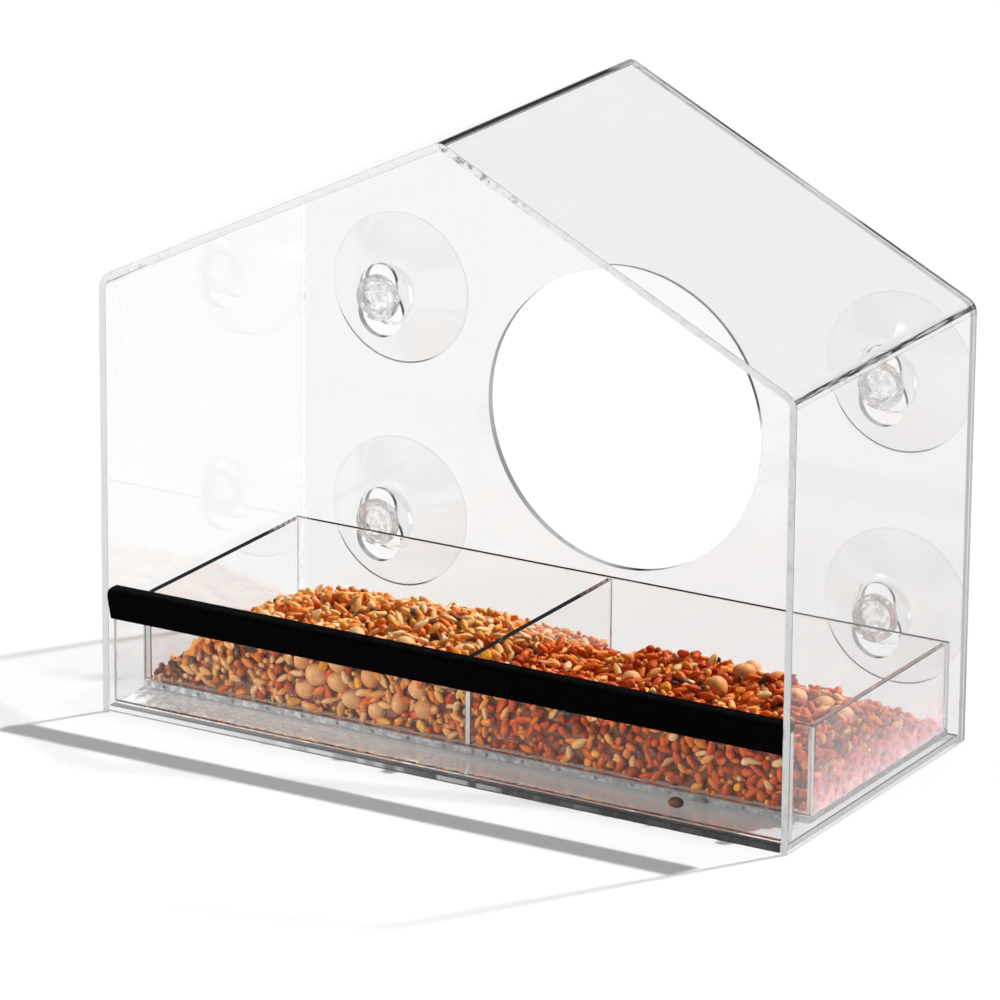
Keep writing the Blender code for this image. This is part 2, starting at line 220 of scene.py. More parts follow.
def seen_by_eye(tree):
    """1 for what the eye sees, straight or mirrored or through glass, and 0 for light that bounces."""
    path = add_node(tree, "ShaderNodeLightPath").outputs
    mirrored = math_node(tree, "MAXIMUM", path["Is Glossy Ray"], path["Is Transmission Ray"])
    seen = math_node(tree, "MAXIMUM", path["Is Camera Ray"], mirrored)
    unbounced = math_node(tree, "LESS_THAN", path["Diffuse Depth"], 0.5)
    return math_node(tree, "MULTIPLY", seen, unbounced)


# %% [markdown]
# ## The floor and the light around it
# Clear sheet shows only what is around it. Under an even white sky it would vanish, so the sky
# that the sheet mirrors is white near the ground, dark in a band above that and pale overhead,
# like a studio with dark walls. The object itself is lit by a plain grey sky and two lamps: a
# narrow sun behind and to the right, which draws the bar's shadow forward on the floor, and a
# low disc in front and to the left, which lights the seed through the front wall.

# %% Floor
FLOOR_HALF = 6.0
FLOOR_DROP = 0.0003
FLOOR_TONE = 0.72
FLOOR_GLOW = 0.20

bm = bmesh.new()
bmesh.ops.create_grid(bm, x_segments=1, y_segments=1, size=FLOOR_HALF)
bmesh.ops.translate(bm, verts=bm.verts, vec=(0, 0, -FLOOR_DROP))
floor_mesh = bpy.data.meshes.new("floor")
bm.to_mesh(floor_mesh)
bm.free()
floor = bpy.data.objects.new("floor", floor_mesh)
scene.collection.objects.link(floor)

floor_finish, tree, output = start_material("pale_floor")
matt = add_node(tree, "ShaderNodeBsdfDiffuse", Color=grey(FLOOR_TONE))
glow_strength = math_node(tree, "MULTIPLY", seen_by_eye(tree), FLOOR_GLOW)
glow = add_node(tree, "ShaderNodeEmission", Strength=glow_strength)
both = add_node(tree, "ShaderNodeAddShader")
tree.links.new(matt.outputs[0], both.inputs[0])
tree.links.new(glow.outputs[0], both.inputs[1])
show(tree, output, both)
floor_mesh.materials.append(floor_finish)

# %% Sky
SKY_LIGHT = 0.16
SKY_BANDS = ((0.00, 1.0), (0.10, 1.0), (0.20, 0.16), (0.40, 0.16), (0.50, 0.85), (1.00, 0.85))

world = bpy.data.worlds.new("studio")
world.use_nodes = True
scene.world = world
tree = world.node_tree
tree.nodes.clear()
direction = add_node(tree, "ShaderNodeTexCoord").outputs["Generated"]
bands = tone_ramp(tree, split(tree, direction)["Z"], [(place, tone, 1) for place, tone in SKY_BANDS])
plain = add_node(tree, "ShaderNodeBackground", Color=grey(1), Strength=SKY_LIGHT)
mirrored = add_node(tree, "ShaderNodeBackground", Color=bands["Color"], Strength=1.0)
straight = add_node(tree, "ShaderNodeBackground", Color=grey(1), Strength=1.0)
by_eye = mix_shaders(tree, seen_by_eye(tree), plain, mirrored)
from_camera = add_node(tree, "ShaderNodeLightPath").outputs["Is Camera Ray"]
by_camera = mix_shaders(tree, from_camera, by_eye, straight)
show(tree, add_node(tree, "ShaderNodeOutputWorld"), by_camera)

# %% Lamps
KEY_SLANT = (-0.50, -0.80, -1.0)
KEY_STRENGTH = 4.2
KEY_WIDTH = math.radians(2.4)
FRONT_PLACE = (-0.75, -1.35, 0.17)
FRONT_POWER = 15.0
FRONT_SIZE = 0.3


def add_lamp(name, kind, place, heading):
    """A lamp that shines along a heading."""
    lamp = bpy.data.objects.new(name, bpy.data.lights.new(name, kind))
    lamp.location = place
    lamp.rotation_euler = Vector(heading).to_track_quat("-Z", "Y").to_euler()
    scene.collection.objects.link(lamp)
    return lamp.data


key = add_lamp("key_lamp", "SUN", -Vector(KEY_SLANT), KEY_SLANT)
key.energy = KEY_STRENGTH
key.angle = KEY_WIDTH
front = add_lamp("front_lamp", "AREA", FRONT_PLACE, -Vector(FRONT_PLACE))
front.shape = "DISK"
front.size = FRONT_SIZE
front.energy = FRONT_POWER
print("floor, sky and two lamps are set")

# %% [markdown]
# ## What acrylic looks like
# Clear acrylic is nearly invisible face on. It shows by its reflections, by the grey of long
# paths inside the sheet and by its cut edges. A real refracting solid with a faint absorption
# gives all of that, where a flat see-through colour would give none. Lamps shine through it by
# a transparent shader for shadow rays, or the seed behind it would lie in the dark.
#
# Sheet is never perfect: handling leaves a faint haze and hair-thin marks. That haze is needed
# on the acrylic, the soft plastic and the rubber, so it is one node group with three inputs.

# %% The haze that handling leaves
FLOAT = "NodeSocketFloat"
COLOUR = "NodeSocketColor"


def start_group(name, takes, gives):
    """A node group, what it is given and what it puts out, from the kinds of its named sockets."""
    group = bpy.data.node_groups.new(name, "ShaderNodeTree")
    for in_out, sockets in (("INPUT", takes), ("OUTPUT", gives)):
        for socket, kind in sockets.items():
            group.interface.new_socket(socket, in_out=in_out, socket_type=kind)
    return group, group.nodes.new("NodeGroupInput").outputs, group.nodes.new("NodeGroupOutput").inputs


def build_haze_group():
    """Cloudy patches and thin rubbed marks: a roughness value and a height."""
    takes = {"Patch Scale": FLOAT, "Clean Roughness": FLOAT, "Rubbed Roughness": FLOAT}
    group, given, made = start_group("handling_haze", takes, {"Roughness": FLOAT, "Height": FLOAT})
    place = object_place(group)
    cloud = noise(group, place, given["Patch Scale"], 3.0)
    turned = add_node(group, "ShaderNodeMapping", Vector=place, Rotation=(0.5, 0.3, 0.9), Scale=(4, 90, 40))
    thin = map_range(group, noise(group, turned.outputs[0], 9.0, 2.0), 0.62, 0.74)
    worn = math_node(group, "MULTIPLY", cloud, thin)
    rough = map_range(group, worn, 0.0, 1.0, given["Clean Roughness"], given["Rubbed Roughness"])
    group.links.new(rough, made["Roughness"])
    group.links.new(cloud, made["Height"])
    return group


haze_group = build_haze_group()


def add_haze(tree, scale, clean, rubbed):
    """The haze's roughness and height, for a patch scale and the roughness of clean and rubbed skin."""
    haze = add_node(tree, "ShaderNodeGroup", {"node_tree": haze_group})
    haze.inputs["Patch Scale"].default_value = scale
    haze.inputs["Clean Roughness"].default_value = clean
    haze.inputs["Rubbed Roughness"].default_value = rubbed
    return haze.outputs


# %% Clear finishes
ACRYLIC_IOR = 1.49
SOFT_IOR = 1.51
ALONG_GLOSS = 0.25
ACROSS_GLOSS = 0.15
SHEET_GLOSS = 0.35
BACK_GLOSS = 0.5
SOFT_GLOSS = 1.0
# SHEET_TINT and BACK_TINT are painted shade: each dims what is seen through its sheet a little, in place of
# the darker surroundings that the sheet mirrors.
SHEET_TINT = grey(0.95)
BACK_TINT = grey(0.89)
BASE_TINT = grey(1.0)
TRAY_TINT = (0.975, 0.97, 0.97, 1)
SOFT_TINT = grey(0.985)
HEAD_TINT = grey(0.90)
INSIDE_COLOUR = (0.81, 0.82, 0.82, 1)
LAMP_TINT = grey(0.98)
SHEET_DENSITY = 18.0
TRAY_DENSITY = 24.0
SOFT_DENSITY = 30.0
PATCH_SCALE = 24.0
PANEL_HAZE = (0.0, 0.08)
SHEET_HAZE = (0.0, 0.06)
SOFT_HAZE = (0.03, 0.2)


def clear_shader(tree, tint, ior, roughness, gloss, frost=0.0):
    """The refracting part of a clear finish, with more frost where it is asked for.

    roughness is that of clean and of rubbed skin.
    """
    haze = add_haze(tree, PATCH_SCALE, *roughness)
    return principled(
        tree,
        Base_Color=tint,
        IOR=ior,
        Roughness=math_node(tree, "MAXIMUM", haze["Roughness"], frost),
        Specular_Tint=grey(gloss),
        Transmission_Weight=1.0,
        Normal=bump_normal(tree, haze["Height"], 0.02, 0.0005),
    )


def let_lamps_through(tree, output, shader, lamp_tint):
    """Lamps and bounced light pass as through a thin film, and the eye sees the real refraction."""
    path = add_node(tree, "ShaderNodeLightPath")
    film = add_node(tree, "ShaderNodeBsdfTransparent", Color=lamp_tint)
    for kind_of_ray in ("Is Shadow Ray", "Is Diffuse Ray"):
        shader = mix_shaders(tree, path.outputs[kind_of_ray], shader, film)
    show(tree, output, shader)


def add_depth(tree, output, density):
    """Long paths inside the solid turn grey."""
    depth = add_node(tree, "ShaderNodeVolumeAbsorption", Color=INSIDE_COLOUR, Density=density)
    tree.links.new(depth.outputs[0], output.inputs["Volume"])


# %% [markdown]
# ## Sawn edges
# The sheet is sawn and flame-polished, and its edges show as pale frosted strips with darker
# flecks where the saw bit deeper. A clear sheet collects light over its faces and lets it out at
# its edges, so the strip is a matt surface that glows a little.

# %% Edge finish
PALE_EDGE = grey(0.46)
ROOF_EDGE = grey(0.54)
GREY_EDGE = grey(0.34)
LEFT_RIM = grey(0.80)
# The dark of the saw flecks, also used for painted shade: the cups' dark lip arc and the dots on the tray's
# rim.
DARK_FLECK_AND_SHADE = grey(0.10)
EDGE_LAMP_TINT = grey(0.40)
EDGE_GLOW = 0.3
BACK_GLOW = 0.6
FLECKS_FADE = (0.012, 0.05)


def edge_shader(tree, pale, glow):
    """A matt strip with dark flecks that are strong under the ridge and faint elsewhere."""
    place, parts = place_on_object(tree)
    bites = noise(tree, place, 300.0, 4.0, Roughness=0.7)
    deep = map_range(tree, bites, 0.36, 0.50, 1.0, 0.0)
    near_ridge = map_range(tree, parts["X"], *FLECKS_FADE, 1.0, 0.2, eased=True)
    patchy = map_range(tree, noise(tree, place, 22.0, 1.0), 0.52, 0.62, 0.06, 0.45)
    at_right = math_node(tree, "GREATER_THAN", parts["X"], 0.0)
    strength = mix(tree, at_right, patchy, near_ridge, "FLOAT")
    tone = mix(tree, math_node(tree, "MULTIPLY", deep, strength), pale, DARK_FLECK_AND_SHADE)
    return principled(
        tree,
        Base_Color=tone,
        Roughness=0.4,
        Specular_IOR_Level=0.3,
        Emission_Color=tone,
        Emission_Strength=glow,
        Normal=bump_normal(tree, bites, 0.2, 0.0003),
    )


# %% Dust and grit, both with a painted glow
DUST_TOP = 0.030
DUST_FOOT = 0.004
DUST_GLOW = 0.35
GLOWING_GRIT_LEFT = -0.13
GLOWING_GRIT_RIGHT = 0.05
GRIT_TONE = (0.80, 0.79, 0.78, 1)
# The grit's glow is painted light.
GRIT_GLOW = 0.6


def add_glowing_dust(tree, shader, colour, cover):
    """Seed dust on a wall, as high as the seed lies, thicker towards the foot and in patches. The film glows
    a little: painted light that lifts the seed seen through the wall.
    """
    place, parts = place_on_object(tree)
    cloud = noise(tree, place, 240.0, 4.0)
    patchy = map_range(tree, cloud, 0.38, 0.62, 0.4 * cover, 1.6 * cover)
    low_down = map_range(tree, parts["Z"], DUST_TOP, DUST_FOOT, eased=True)
    film = principled(
        tree,
        Base_Color=colour,
        Roughness=0.8,
        Specular_IOR_Level=0.1,
        Emission_Color=colour,
        Emission_Strength=DUST_GLOW,
    )
    return mix_shaders(tree, math_node(tree, "MULTIPLY", patchy, low_down), shader, film)


def add_glowing_grit(tree, shader, gutter):
    """Pale grit and husk dust in the gutter, in front of a place along Y, and most of it at the left. It
    glows: painted light that lifts the gutter out of its shade, most at the left.
    """
    place, parts = place_on_object(tree)
    speckled = map_range(tree, noise(tree, place, 420.0, 3.0), 0.42, 0.58, 0.15, 0.45)
    thinning = map_range(tree, parts["X"], GLOWING_GRIT_LEFT, GLOWING_GRIT_RIGHT, 1.0, 0.0)
    in_gutter = math_node(tree, "LESS_THAN", parts["Y"], gutter)
    cover = math_node(tree, "MULTIPLY", math_node(tree, "MULTIPLY", speckled, thinning), in_gutter)
    return mix_shaders(tree, cover, shader, edge_shader(tree, GRIT_TONE, GRIT_GLOW))


# %% Panel finish
END_FACING = 0.96


def facing(tree, axes):
    """1 on faces that look along one of the axes."""
    parts = split(tree, add_node(tree, "ShaderNodeTexCoord").outputs["Normal"])
    tilt = 0.0
    for axis in axes:
        tilt = math_node(tree, "MAXIMUM", math_node(tree, "ABSOLUTE", parts[axis]), tilt)
    return math_node(tree, "GREATER_THAN", tilt, END_FACING)


def panel_finish(name, tint, end_axes, gloss, density, end_tone, glowing_dust=None, ledge=None, gutter=None):
    """Clear faces and rims, with pale frosted ends where a sheet was cut across.

    A dust colour and cover give seed dust that glows a little, painted light. In front of ledge, a place
    along Y, all of the panel is frosted, and in front of gutter, another one, grit with a painted glow lies
    on it.
    """
    material, tree, output = start_material(name)
    shader = clear_shader(tree, tint, ACRYLIC_IOR, PANEL_HAZE, gloss)
    if glowing_dust:
        shader = add_glowing_dust(tree, shader, *glowing_dust)
    if gutter is not None:
        shader = add_glowing_grit(tree, shader, gutter)
    tone = end_tone(tree) if callable(end_tone) else end_tone
    frosted = facing(tree, end_axes)
    if ledge is not None:
        in_front = math_node(tree, "LESS_THAN", place_on_object(tree)[1]["Y"], ledge)
        frosted = math_node(tree, "MAXIMUM", frosted, in_front)
    shader = mix_shaders(tree, frosted, shader, edge_shader(tree, tone, EDGE_GLOW))
    let_lamps_through(tree, output, shader, LAMP_TINT)
    add_depth(tree, output, density)
    return material


# %% Painted reflection on the base's rim
base_low, base_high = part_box("floor_panel")
HALF_WIDTH = 0.15
CORNER_PAINTED_REFLECTION = ((0.0, 0.24, 1), (0.15, 0.16, 1), (0.45, 0.05, 1), (0.75, 0.012, 1))
MIDDLE_PAINTED_REFLECTION = ((0.0, 0.62, 1), (0.25, 0.5, 1), (0.5, 0.3, 1), (0.75, 0.03, 1))
DASHES_START = (-0.10, 0.0)
CORNER_EDGE = (0.0006, 0.0011)


def base_rim_painted_reflection(tree):
    """The base's front rim carries a painted reflection of what lies on it: grey at the clear left end,
    black under the seed.

    Its polished middle is lighter than the two sawn corners, and the side rims are pale.
    """
    _, parts = place_on_object(tree)
    across = map_range(tree, parts["X"], -HALF_WIDTH, HALF_WIDTH)
    corner = tone_ramp(tree, across, CORNER_PAINTED_REFLECTION)["Color"]
    bright = tone_ramp(tree, across, MIDDLE_PAINTED_REFLECTION)["Color"]
    broken = add_node(
        tree, "ShaderNodeTexNoise", {"noise_dimensions": "1D"}, W=parts["X"], Scale=70.0, Detail=1.0
    )
    gaps = map_range(tree, parts["X"], *DASHES_START)
    dashes = math_node(tree, "MULTIPLY", gaps, map_range(tree, broken.outputs["Fac"], 0.56, 0.48))
    middle = mix(tree, dashes, bright, corner)
    height = math_node(tree, "SUBTRACT", parts["Z"], (base_low.z + base_high.z) / 2)
    at_corner = map_range(tree, math_node(tree, "ABSOLUTE", height), *CORNER_EDGE, eased=True)
    return mix(tree, facing(tree, "X"), mix(tree, at_corner, middle, corner), PALE_EDGE)


# %% Painted tones of the tray's rim, and the front wall's ends
DRAIN_PITCH = 0.0158
DRAIN_DOT = 0.0012
TRAY_RIM_SPAN = (-0.14, 0.10)
# Painted light: the rim is lighter at its left end and darker to the right.
TRAY_RIM_TONES = ((0.0, 0.62, 1), (0.5, 0.42, 1), (1.0, 0.34, 1))
DARK_FOOT = (0.03, 0.028, 0.026, 1)


def tray_rim_tone(tree):
    """The rim of the tray's floor, painted: dark dots where the drain holes behind it show through, and a
    tone that is lighter at the left than at the right, painted light.
    """
    place, parts = place_on_object(tree)
    tray_low, tray_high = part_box("tray_floor")
    tray_middle = (tray_low.x + tray_high.x) / 2
    from_middle = math_node(tree, "ABSOLUTE", math_node(tree, "SUBTRACT", parts["X"], tray_middle))
    from_hole = math_node(tree, "SUBTRACT", from_middle, (tray_high.x - tray_middle) / 2)
    nearest = math_node(tree, "PINGPONG", from_hole, DRAIN_PITCH / 2)
    height = math_node(tree, "SUBTRACT", parts["Z"], (tray_low.z + tray_high.z) / 2)
    squares = [math_node(tree, "POWER", side, 2.0) for side in (nearest, height)]
    away = math_node(tree, "SQRT", math_node(tree, "ADD", *squares))
    in_dot = map_range(tree, away, DRAIN_DOT, 0.4 * DRAIN_DOT, 0.0, 0.85, eased=True)
    pale = tone_ramp(tree, map_range(tree, parts["X"], *TRAY_RIM_SPAN), TRAY_RIM_TONES)["Color"]
    grit = map_range(tree, noise(tree, place, 520.0, 3.0), 0.42, 0.62, 0.55, 0.0)
    return mix(tree, in_dot, mix(tree, grit, pale, DARK_FLECK_AND_SHADE), DARK_FLECK_AND_SHADE)


def front_wall_tone(tree):
    """The ends of the front wall are pale, and its foot is dark where it meets the base."""
    return mix(tree, facing(tree, "Z"), PALE_EDGE, DARK_FOOT)


# %% Finishes of the flat panels
# The side and front films are seed dust that glows a little, painted light over the seed seen through the
# tray's walls.
SIDE_GLOWING_DUST = ((1.0, 0.60, 0.66, 1), 0.34)
FRONT_GLOWING_DUST = ((0.95, 0.34, 0.22, 1), 0.05)
LEDGE_GAP = 0.0002

along = ("Y", ALONG_GLOSS, TRAY_DENSITY, PALE_EDGE)
across = ("X", ACROSS_GLOSS, TRAY_DENSITY, PALE_EDGE)
wall_along = panel_finish("tray_wall_along", TRAY_TINT, *along)
glowing_dusty_side = panel_finish("glowing_dusty_tray_side", TRAY_TINT, *along, SIDE_GLOWING_DUST)
wall_across = panel_finish("tray_wall_across", TRAY_TINT, *across)
glowing_dusty_front = panel_finish("glowing_dusty_tray_front", TRAY_TINT, *across, FRONT_GLOWING_DUST)
flat_floor = panel_finish("tray_floor_sheet", TRAY_TINT, "XY", ALONG_GLOSS, TRAY_DENSITY, tray_rim_tone)
front_acrylic = panel_finish(
    "front_wall_sheet", SHEET_TINT, "XZ", ACROSS_GLOSS, SHEET_DENSITY, front_wall_tone
)
base_acrylic = panel_finish(
    "base_sheet",
    BASE_TINT,
    "XY",
    ALONG_GLOSS,
    SHEET_DENSITY,
    base_rim_painted_reflection,
    ledge=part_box("front_wall")[0].y - LEDGE_GAP,
    gutter=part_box("tray_floor")[0].y,
)
print("clear finishes:", [m.name for m in bpy.data.materials])

# %% [markdown]
# ## The bent sheet
# Walls and roof are one sheet, bent warm over the eaves and the ridge. The solid has few
# facets there, and glass shows each one, so the sheet is made again with fine bends: five
# points in a row, extruded along the depth, beveled at the three bends and given its wall.

# %% Helpers for meshes
CREASE = math.radians(35)


def finish_piece(bm, name, body, finish, smooth_angle=CREASE, flat_walls=False):
    """Turns a bmesh into a named piece that rides on a body.

    With flat_walls, the large faces keep their own normals and only the small ones are blended.
    """
    mesh = bpy.data.meshes.new(name)
    bm.to_mesh(mesh)
    bm.free()
    mesh.materials.append(finish)
    mesh.shade_smooth()
    mesh.set_sharp_from_angle(angle=smooth_angle)
    piece = bpy.data.objects.new(name, mesh)
    scene.collection.objects.link(piece)
    if flat_walls:
        weigh = piece.modifiers.new("flat walls", "WEIGHTED_NORMAL")
        weigh.weight = 100
        weigh.keep_sharp = True
    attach(piece, body)
    print(name, "has", len(mesh.polygons), "faces")
    return piece


def round_off(bm, geom, offset, segments, affect="EDGES"):
    """Rounds edges or corners."""
    bmesh.ops.bevel(bm, geom=geom, offset=offset, segments=segments, affect=affect, profile=0.5, material=-1)


def extruded(made):
    """The points that an extrusion made."""
    return [item for item in made["geom"] if isinstance(item, bmesh.types.BMVert)]


def mark_parts(bm, part_of):
    """Stores on each face which part of the surface it belongs to."""
    part = bm.faces.layers.float.new("part")
    for face in bm.faces:
        face[part] = part_of(face)


# %% Bent sheet
EAVE_HEIGHT = 0.1745
RIDGE_HEIGHT = 0.249
SHEET = 0.003
EAVE_BEND = 0.006
RIDGE_BEND = 0.0045
BEND_SEGMENTS = 14
EDGE_EASE = 0.0003
EASE_SEGMENTS = 2
SHARP = math.radians(60)

shell_low, shell_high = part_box("housing_shell")
slope = math.atan2(RIDGE_HEIGHT - EAVE_HEIGHT, shell_high.x)
corners = [
    (shell_low.x, shell_low.y, 0),
    (shell_low.x, shell_low.y, EAVE_HEIGHT),
    (0, shell_low.y, RIDGE_HEIGHT),
    (shell_high.x, shell_low.y, EAVE_HEIGHT),
    (shell_high.x, shell_low.y, 0),
]

bm = bmesh.new()
row = [bm.verts.new(corner) for corner in corners]
lines = [bm.edges.new(pair) for pair in zip(row, row[1:])]
made = bmesh.ops.extrude_edge_only(bm, edges=lines)
bmesh.ops.translate(bm, verts=extruded(made), vec=(0, shell_high.y - shell_low.y, 0))


def bend(bm, at_ridge, radius, turn):
    """Rounds the long edges at the ridge or at the eaves to a radius."""
    chosen = [
        edge
        for edge in bm.edges
        if all(v.co.z > EAVE_HEIGHT - SHEET and (abs(v.co.x) < SHEET) == at_ridge for v in edge.verts)
        and abs(edge.verts[0].co.y - edge.verts[1].co.y) > SHEET
    ]
    round_off(bm, chosen, radius * math.tan(turn / 2), BEND_SEGMENTS)


bend(bm, True, RIDGE_BEND, 2 * slope)
bend(bm, False, EAVE_BEND, math.pi / 2 - slope)
bmesh.ops.recalc_face_normals(bm, faces=bm.faces)
bmesh.ops.solidify(bm, geom=bm.faces[:], thickness=SHEET)
bmesh.ops.recalc_face_normals(bm, faces=bm.faces)
xs = [v.co.x for v in bm.verts]
print("bent sheet spans", min(xs), max(xs), "up to", max(v.co.z for v in bm.verts))

# %% Parts of the bent sheet
ON_FACE, ON_FRONT, ON_BACK, ON_RIDGE, ON_EAVE = range(5)
END_ON = 0.7
RIDGE_SIDE = math.radians(1)
EAVE_LINE = (math.radians(27), math.radians(45))
EAVE_FOOT = (math.radians(59), math.radians(63))


def sheet_part(face):
    """Which part of the sheet a face belongs to, told from the way it faces.

    The cut feet of the walls count to the front edge, and the foot of each eave to the ridge.
    """
    normal = face.normal
    if normal.y > END_ON:
        return ON_BACK
    if normal.y < -END_ON or face.calc_center_median().z < EDGE_EASE:
        return ON_FRONT
    lean = math.atan2(abs(normal.x), normal.z)
    if lean < slope - RIDGE_SIDE:
        return ON_RIDGE
    if EAVE_LINE[0] < lean - slope < EAVE_LINE[1]:
        return ON_EAVE
    if EAVE_FOOT[0] < lean - slope < EAVE_FOOT[1]:
        return ON_RIDGE
    return ON_FACE


# %% Finish of the bent sheet
# Painted shade in the bends: a grey ridge, near-black eaves with paler glints, and a painted reflection
# along the roof's back edge.
RIDGE_PAINTED_SHADE = grey(0.60)
EAVE_PAINTED_SHADE = grey(0.004)
EAVE_PAINTED_GLINT = grey(0.45)
GLINT_SCALE = (2000, 90, 2000)
ROOF_BACK_PAINTED_REFLECTION = (
    (0.00, 0.34, 1), (0.15, 0.12, 1), (0.28, 0.008, 1), (0.38, 0.012, 1), (0.52, 0.38, 1),
    (0.63, 0.36, 1), (0.68, 0.02, 1), (0.78, 0.015, 1), (0.84, 0.10, 1), (1.00, 0.05, 1),
)


def bent_acrylic():
    """Clear sheet with painted shade in its bends, pale sawn edges in front and grey ones at the back.

    It is one material, because light has to leave a solid by the finish that it came in by. The
    eaves are painted near black with paler glints and the ridge is painted grey, both painted shade,
    and the roof's back edge is painted dark in stretches, a painted reflection of the dark band of the sky.
    """
    material, tree, output = start_material("clear_acrylic")
    place, parts = place_on_object(tree)
    glint_place = add_node(tree, "ShaderNodeMapping", Vector=place, Scale=GLINT_SCALE)
    glints = map_range(tree, noise(tree, glint_place.outputs[0], 1.0, 1.0), 0.46, 0.62)
    tint = mix(tree, on_part(tree, ON_RIDGE), SHEET_TINT, RIDGE_PAINTED_SHADE)
    tint = mix(tree, on_part(tree, ON_EAVE), tint, mix(tree, glints, EAVE_PAINTED_SHADE, EAVE_PAINTED_GLINT))
    clear = clear_shader(tree, tint, ACRYLIC_IOR, SHEET_HAZE, SHEET_GLOSS)
    on_roof = map_range(tree, parts["Z"], EAVE_HEIGHT - EAVE_BEND, EAVE_HEIGHT + EAVE_BEND)
    pale = edge_shader(tree, mix(tree, on_roof, PALE_EDGE, ROOF_EDGE), EDGE_GLOW)
    down_slope = map_range(tree, parts["X"], 0.0, shell_high.x)
    painted_roof_back = tone_ramp(tree, down_slope, ROOF_BACK_PAINTED_REFLECTION)["Color"]
    dim = edge_shader(tree, mix(tree, on_roof, GREY_EDGE, painted_roof_back), BACK_GLOW)
    shader = mix_shaders(tree, on_part(tree, ON_FRONT), clear, pale)
    shader = mix_shaders(tree, on_part(tree, ON_BACK), shader, dim)
    on_edge = math_node(tree, "ADD", on_part(tree, ON_FRONT), on_part(tree, ON_BACK))
    let_lamps_through(tree, output, shader, mix(tree, on_edge, LAMP_TINT, EDGE_LAMP_TINT))
    add_depth(tree, output, SHEET_DENSITY)
    return material


mark_parts(bm, sheet_part)
sharp = [edge for edge in bm.edges if edge.calc_face_angle(0) > SHARP]
round_off(bm, sharp, EDGE_EASE, EASE_SEGMENTS)
shell = finish_piece(bm, "bent_sheet", "housing", bent_acrylic(), flat_walls=True)
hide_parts("housing_shell")

# %% [markdown]
# ## The back panel
# The back panel is laser cut: a round viewing hole and four keyholes for the suction cups. The
# rims of such cuts are the only parts of it that the eye finds, so they are drawn with enough
# points to stay round, and their finish is painted from grey to black around each hole, a painted
# reflection of light and dark. Filling one flat outline with its holes and thickening it is shorter
# and cleaner here than cutting with a boolean.

# %% Outlines of the back panel
HOLE_HEIGHT = 0.1043
HOLE_RADIUS = 0.0607
HOLE_SEGMENTS = 160
KEY_SEGMENTS = 48
SLOT_RADIUS = 0.0070
ENTRY_RADIUS = 0.01015
ENTRY_DROP = 0.013
CUP_COLUMN = 0.1105
SLOT_HEIGHTS = {"lower": 0.0507, "upper": 0.1437}
PANEL_GAP = 0.0003

panel_low, panel_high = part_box("back_panel")


def round_wire(bm, x, z, radius, segments):
    """A closed ring of edges in the panel's front plane."""
    place = Matrix.Translation((x, panel_low.y, z)) @ Matrix.Rotation(math.pi / 2, 4, "X")
    ring = bmesh.ops.create_circle(bm, cap_ends=False, radius=radius, segments=segments, matrix=place)
    return ring["verts"]


def keyhole_wire(bm, x, z):
    """A round entry with a narrower round slot above it, as one ring of edges."""
    entry = round_wire(bm, x, z - ENTRY_DROP, ENTRY_RADIUS, KEY_SEGMENTS)
    meet = z - ENTRY_DROP + math.sqrt(ENTRY_RADIUS ** 2 - SLOT_RADIUS ** 2)
    slot = round_wire(bm, x, z, SLOT_RADIUS, KEY_SEGMENTS)
    over = [v for v in entry if v.co.z > meet - EDGE_EASE and abs(v.co.x - x) < SLOT_RADIUS]
    under = [v for v in slot if v.co.z < z - EDGE_EASE]
    bmesh.ops.delete(bm, geom=over + under, context="VERTS")
    ends = [v for v in entry + slot if v.is_valid and len(v.link_edges) == 1]
    for side in (-1, 1):
        bm.edges.new([v for v in ends if (v.co.x - x) * side > 0])


# %% Shape of the back panel
inset = SHEET + PANEL_GAP
under_eave = EAVE_HEIGHT + math.tan(slope) * inset - inset / math.cos(slope)
inner_corners = [
    (panel_low.x, 0),
    (panel_low.x, under_eave),
    (0, RIDGE_HEIGHT - inset / math.cos(slope)),
    (panel_high.x, under_eave),
    (panel_high.x, 0),
]

bm = bmesh.new()
outline = [bm.verts.new((x, panel_low.y, z)) for x, z in inner_corners]
bm.faces.new(outline)
inner_bend = (EAVE_BEND - SHEET) * math.tan((math.pi / 2 - slope) / 2)
round_off(bm, [outline[1], outline[3]], inner_bend, BEND_SEGMENTS, "VERTICES")
bmesh.ops.delete(bm, geom=bm.faces[:], context="FACES_ONLY")
round_wire(bm, 0, HOLE_HEIGHT, HOLE_RADIUS, HOLE_SEGMENTS)
for column in (-CUP_COLUMN, CUP_COLUMN):
    for slot_height in SLOT_HEIGHTS.values():
        keyhole_wire(bm, column, slot_height)
bmesh.ops.triangle_fill(bm, edges=bm.edges[:], use_beauty=True)
made = bmesh.ops.extrude_face_region(bm, geom=bm.faces[:])
bmesh.ops.translate(bm, verts=extruded(made), vec=(0, SHEET, 0))
bmesh.ops.recalc_face_normals(bm, faces=bm.faces)
print("back panel is drawn with", len(bm.verts), "points")

# %% Parts of the back panel
ON_OUTLINE, ON_HOLE, ON_KEYHOLE = 1, 2, 3


def panel_part(face):
    """Which part of the back panel a face belongs to, told from its place."""
    middle = face.calc_center_median()
    if abs(face.normal.y) > END_ON:
        return ON_FACE
    if math.hypot(middle.x, middle.z - HOLE_HEIGHT) < HOLE_RADIUS + EDGE_EASE:
        return ON_HOLE
    for slot_height in SLOT_HEIGHTS.values():
        keyhole = math.hypot(abs(middle.x) - CUP_COLUMN, middle.z - slot_height + ENTRY_DROP / 2)
        if keyhole < ENTRY_DROP / 2 + ENTRY_RADIUS + EDGE_EASE:
            return ON_KEYHOLE
    return ON_OUTLINE


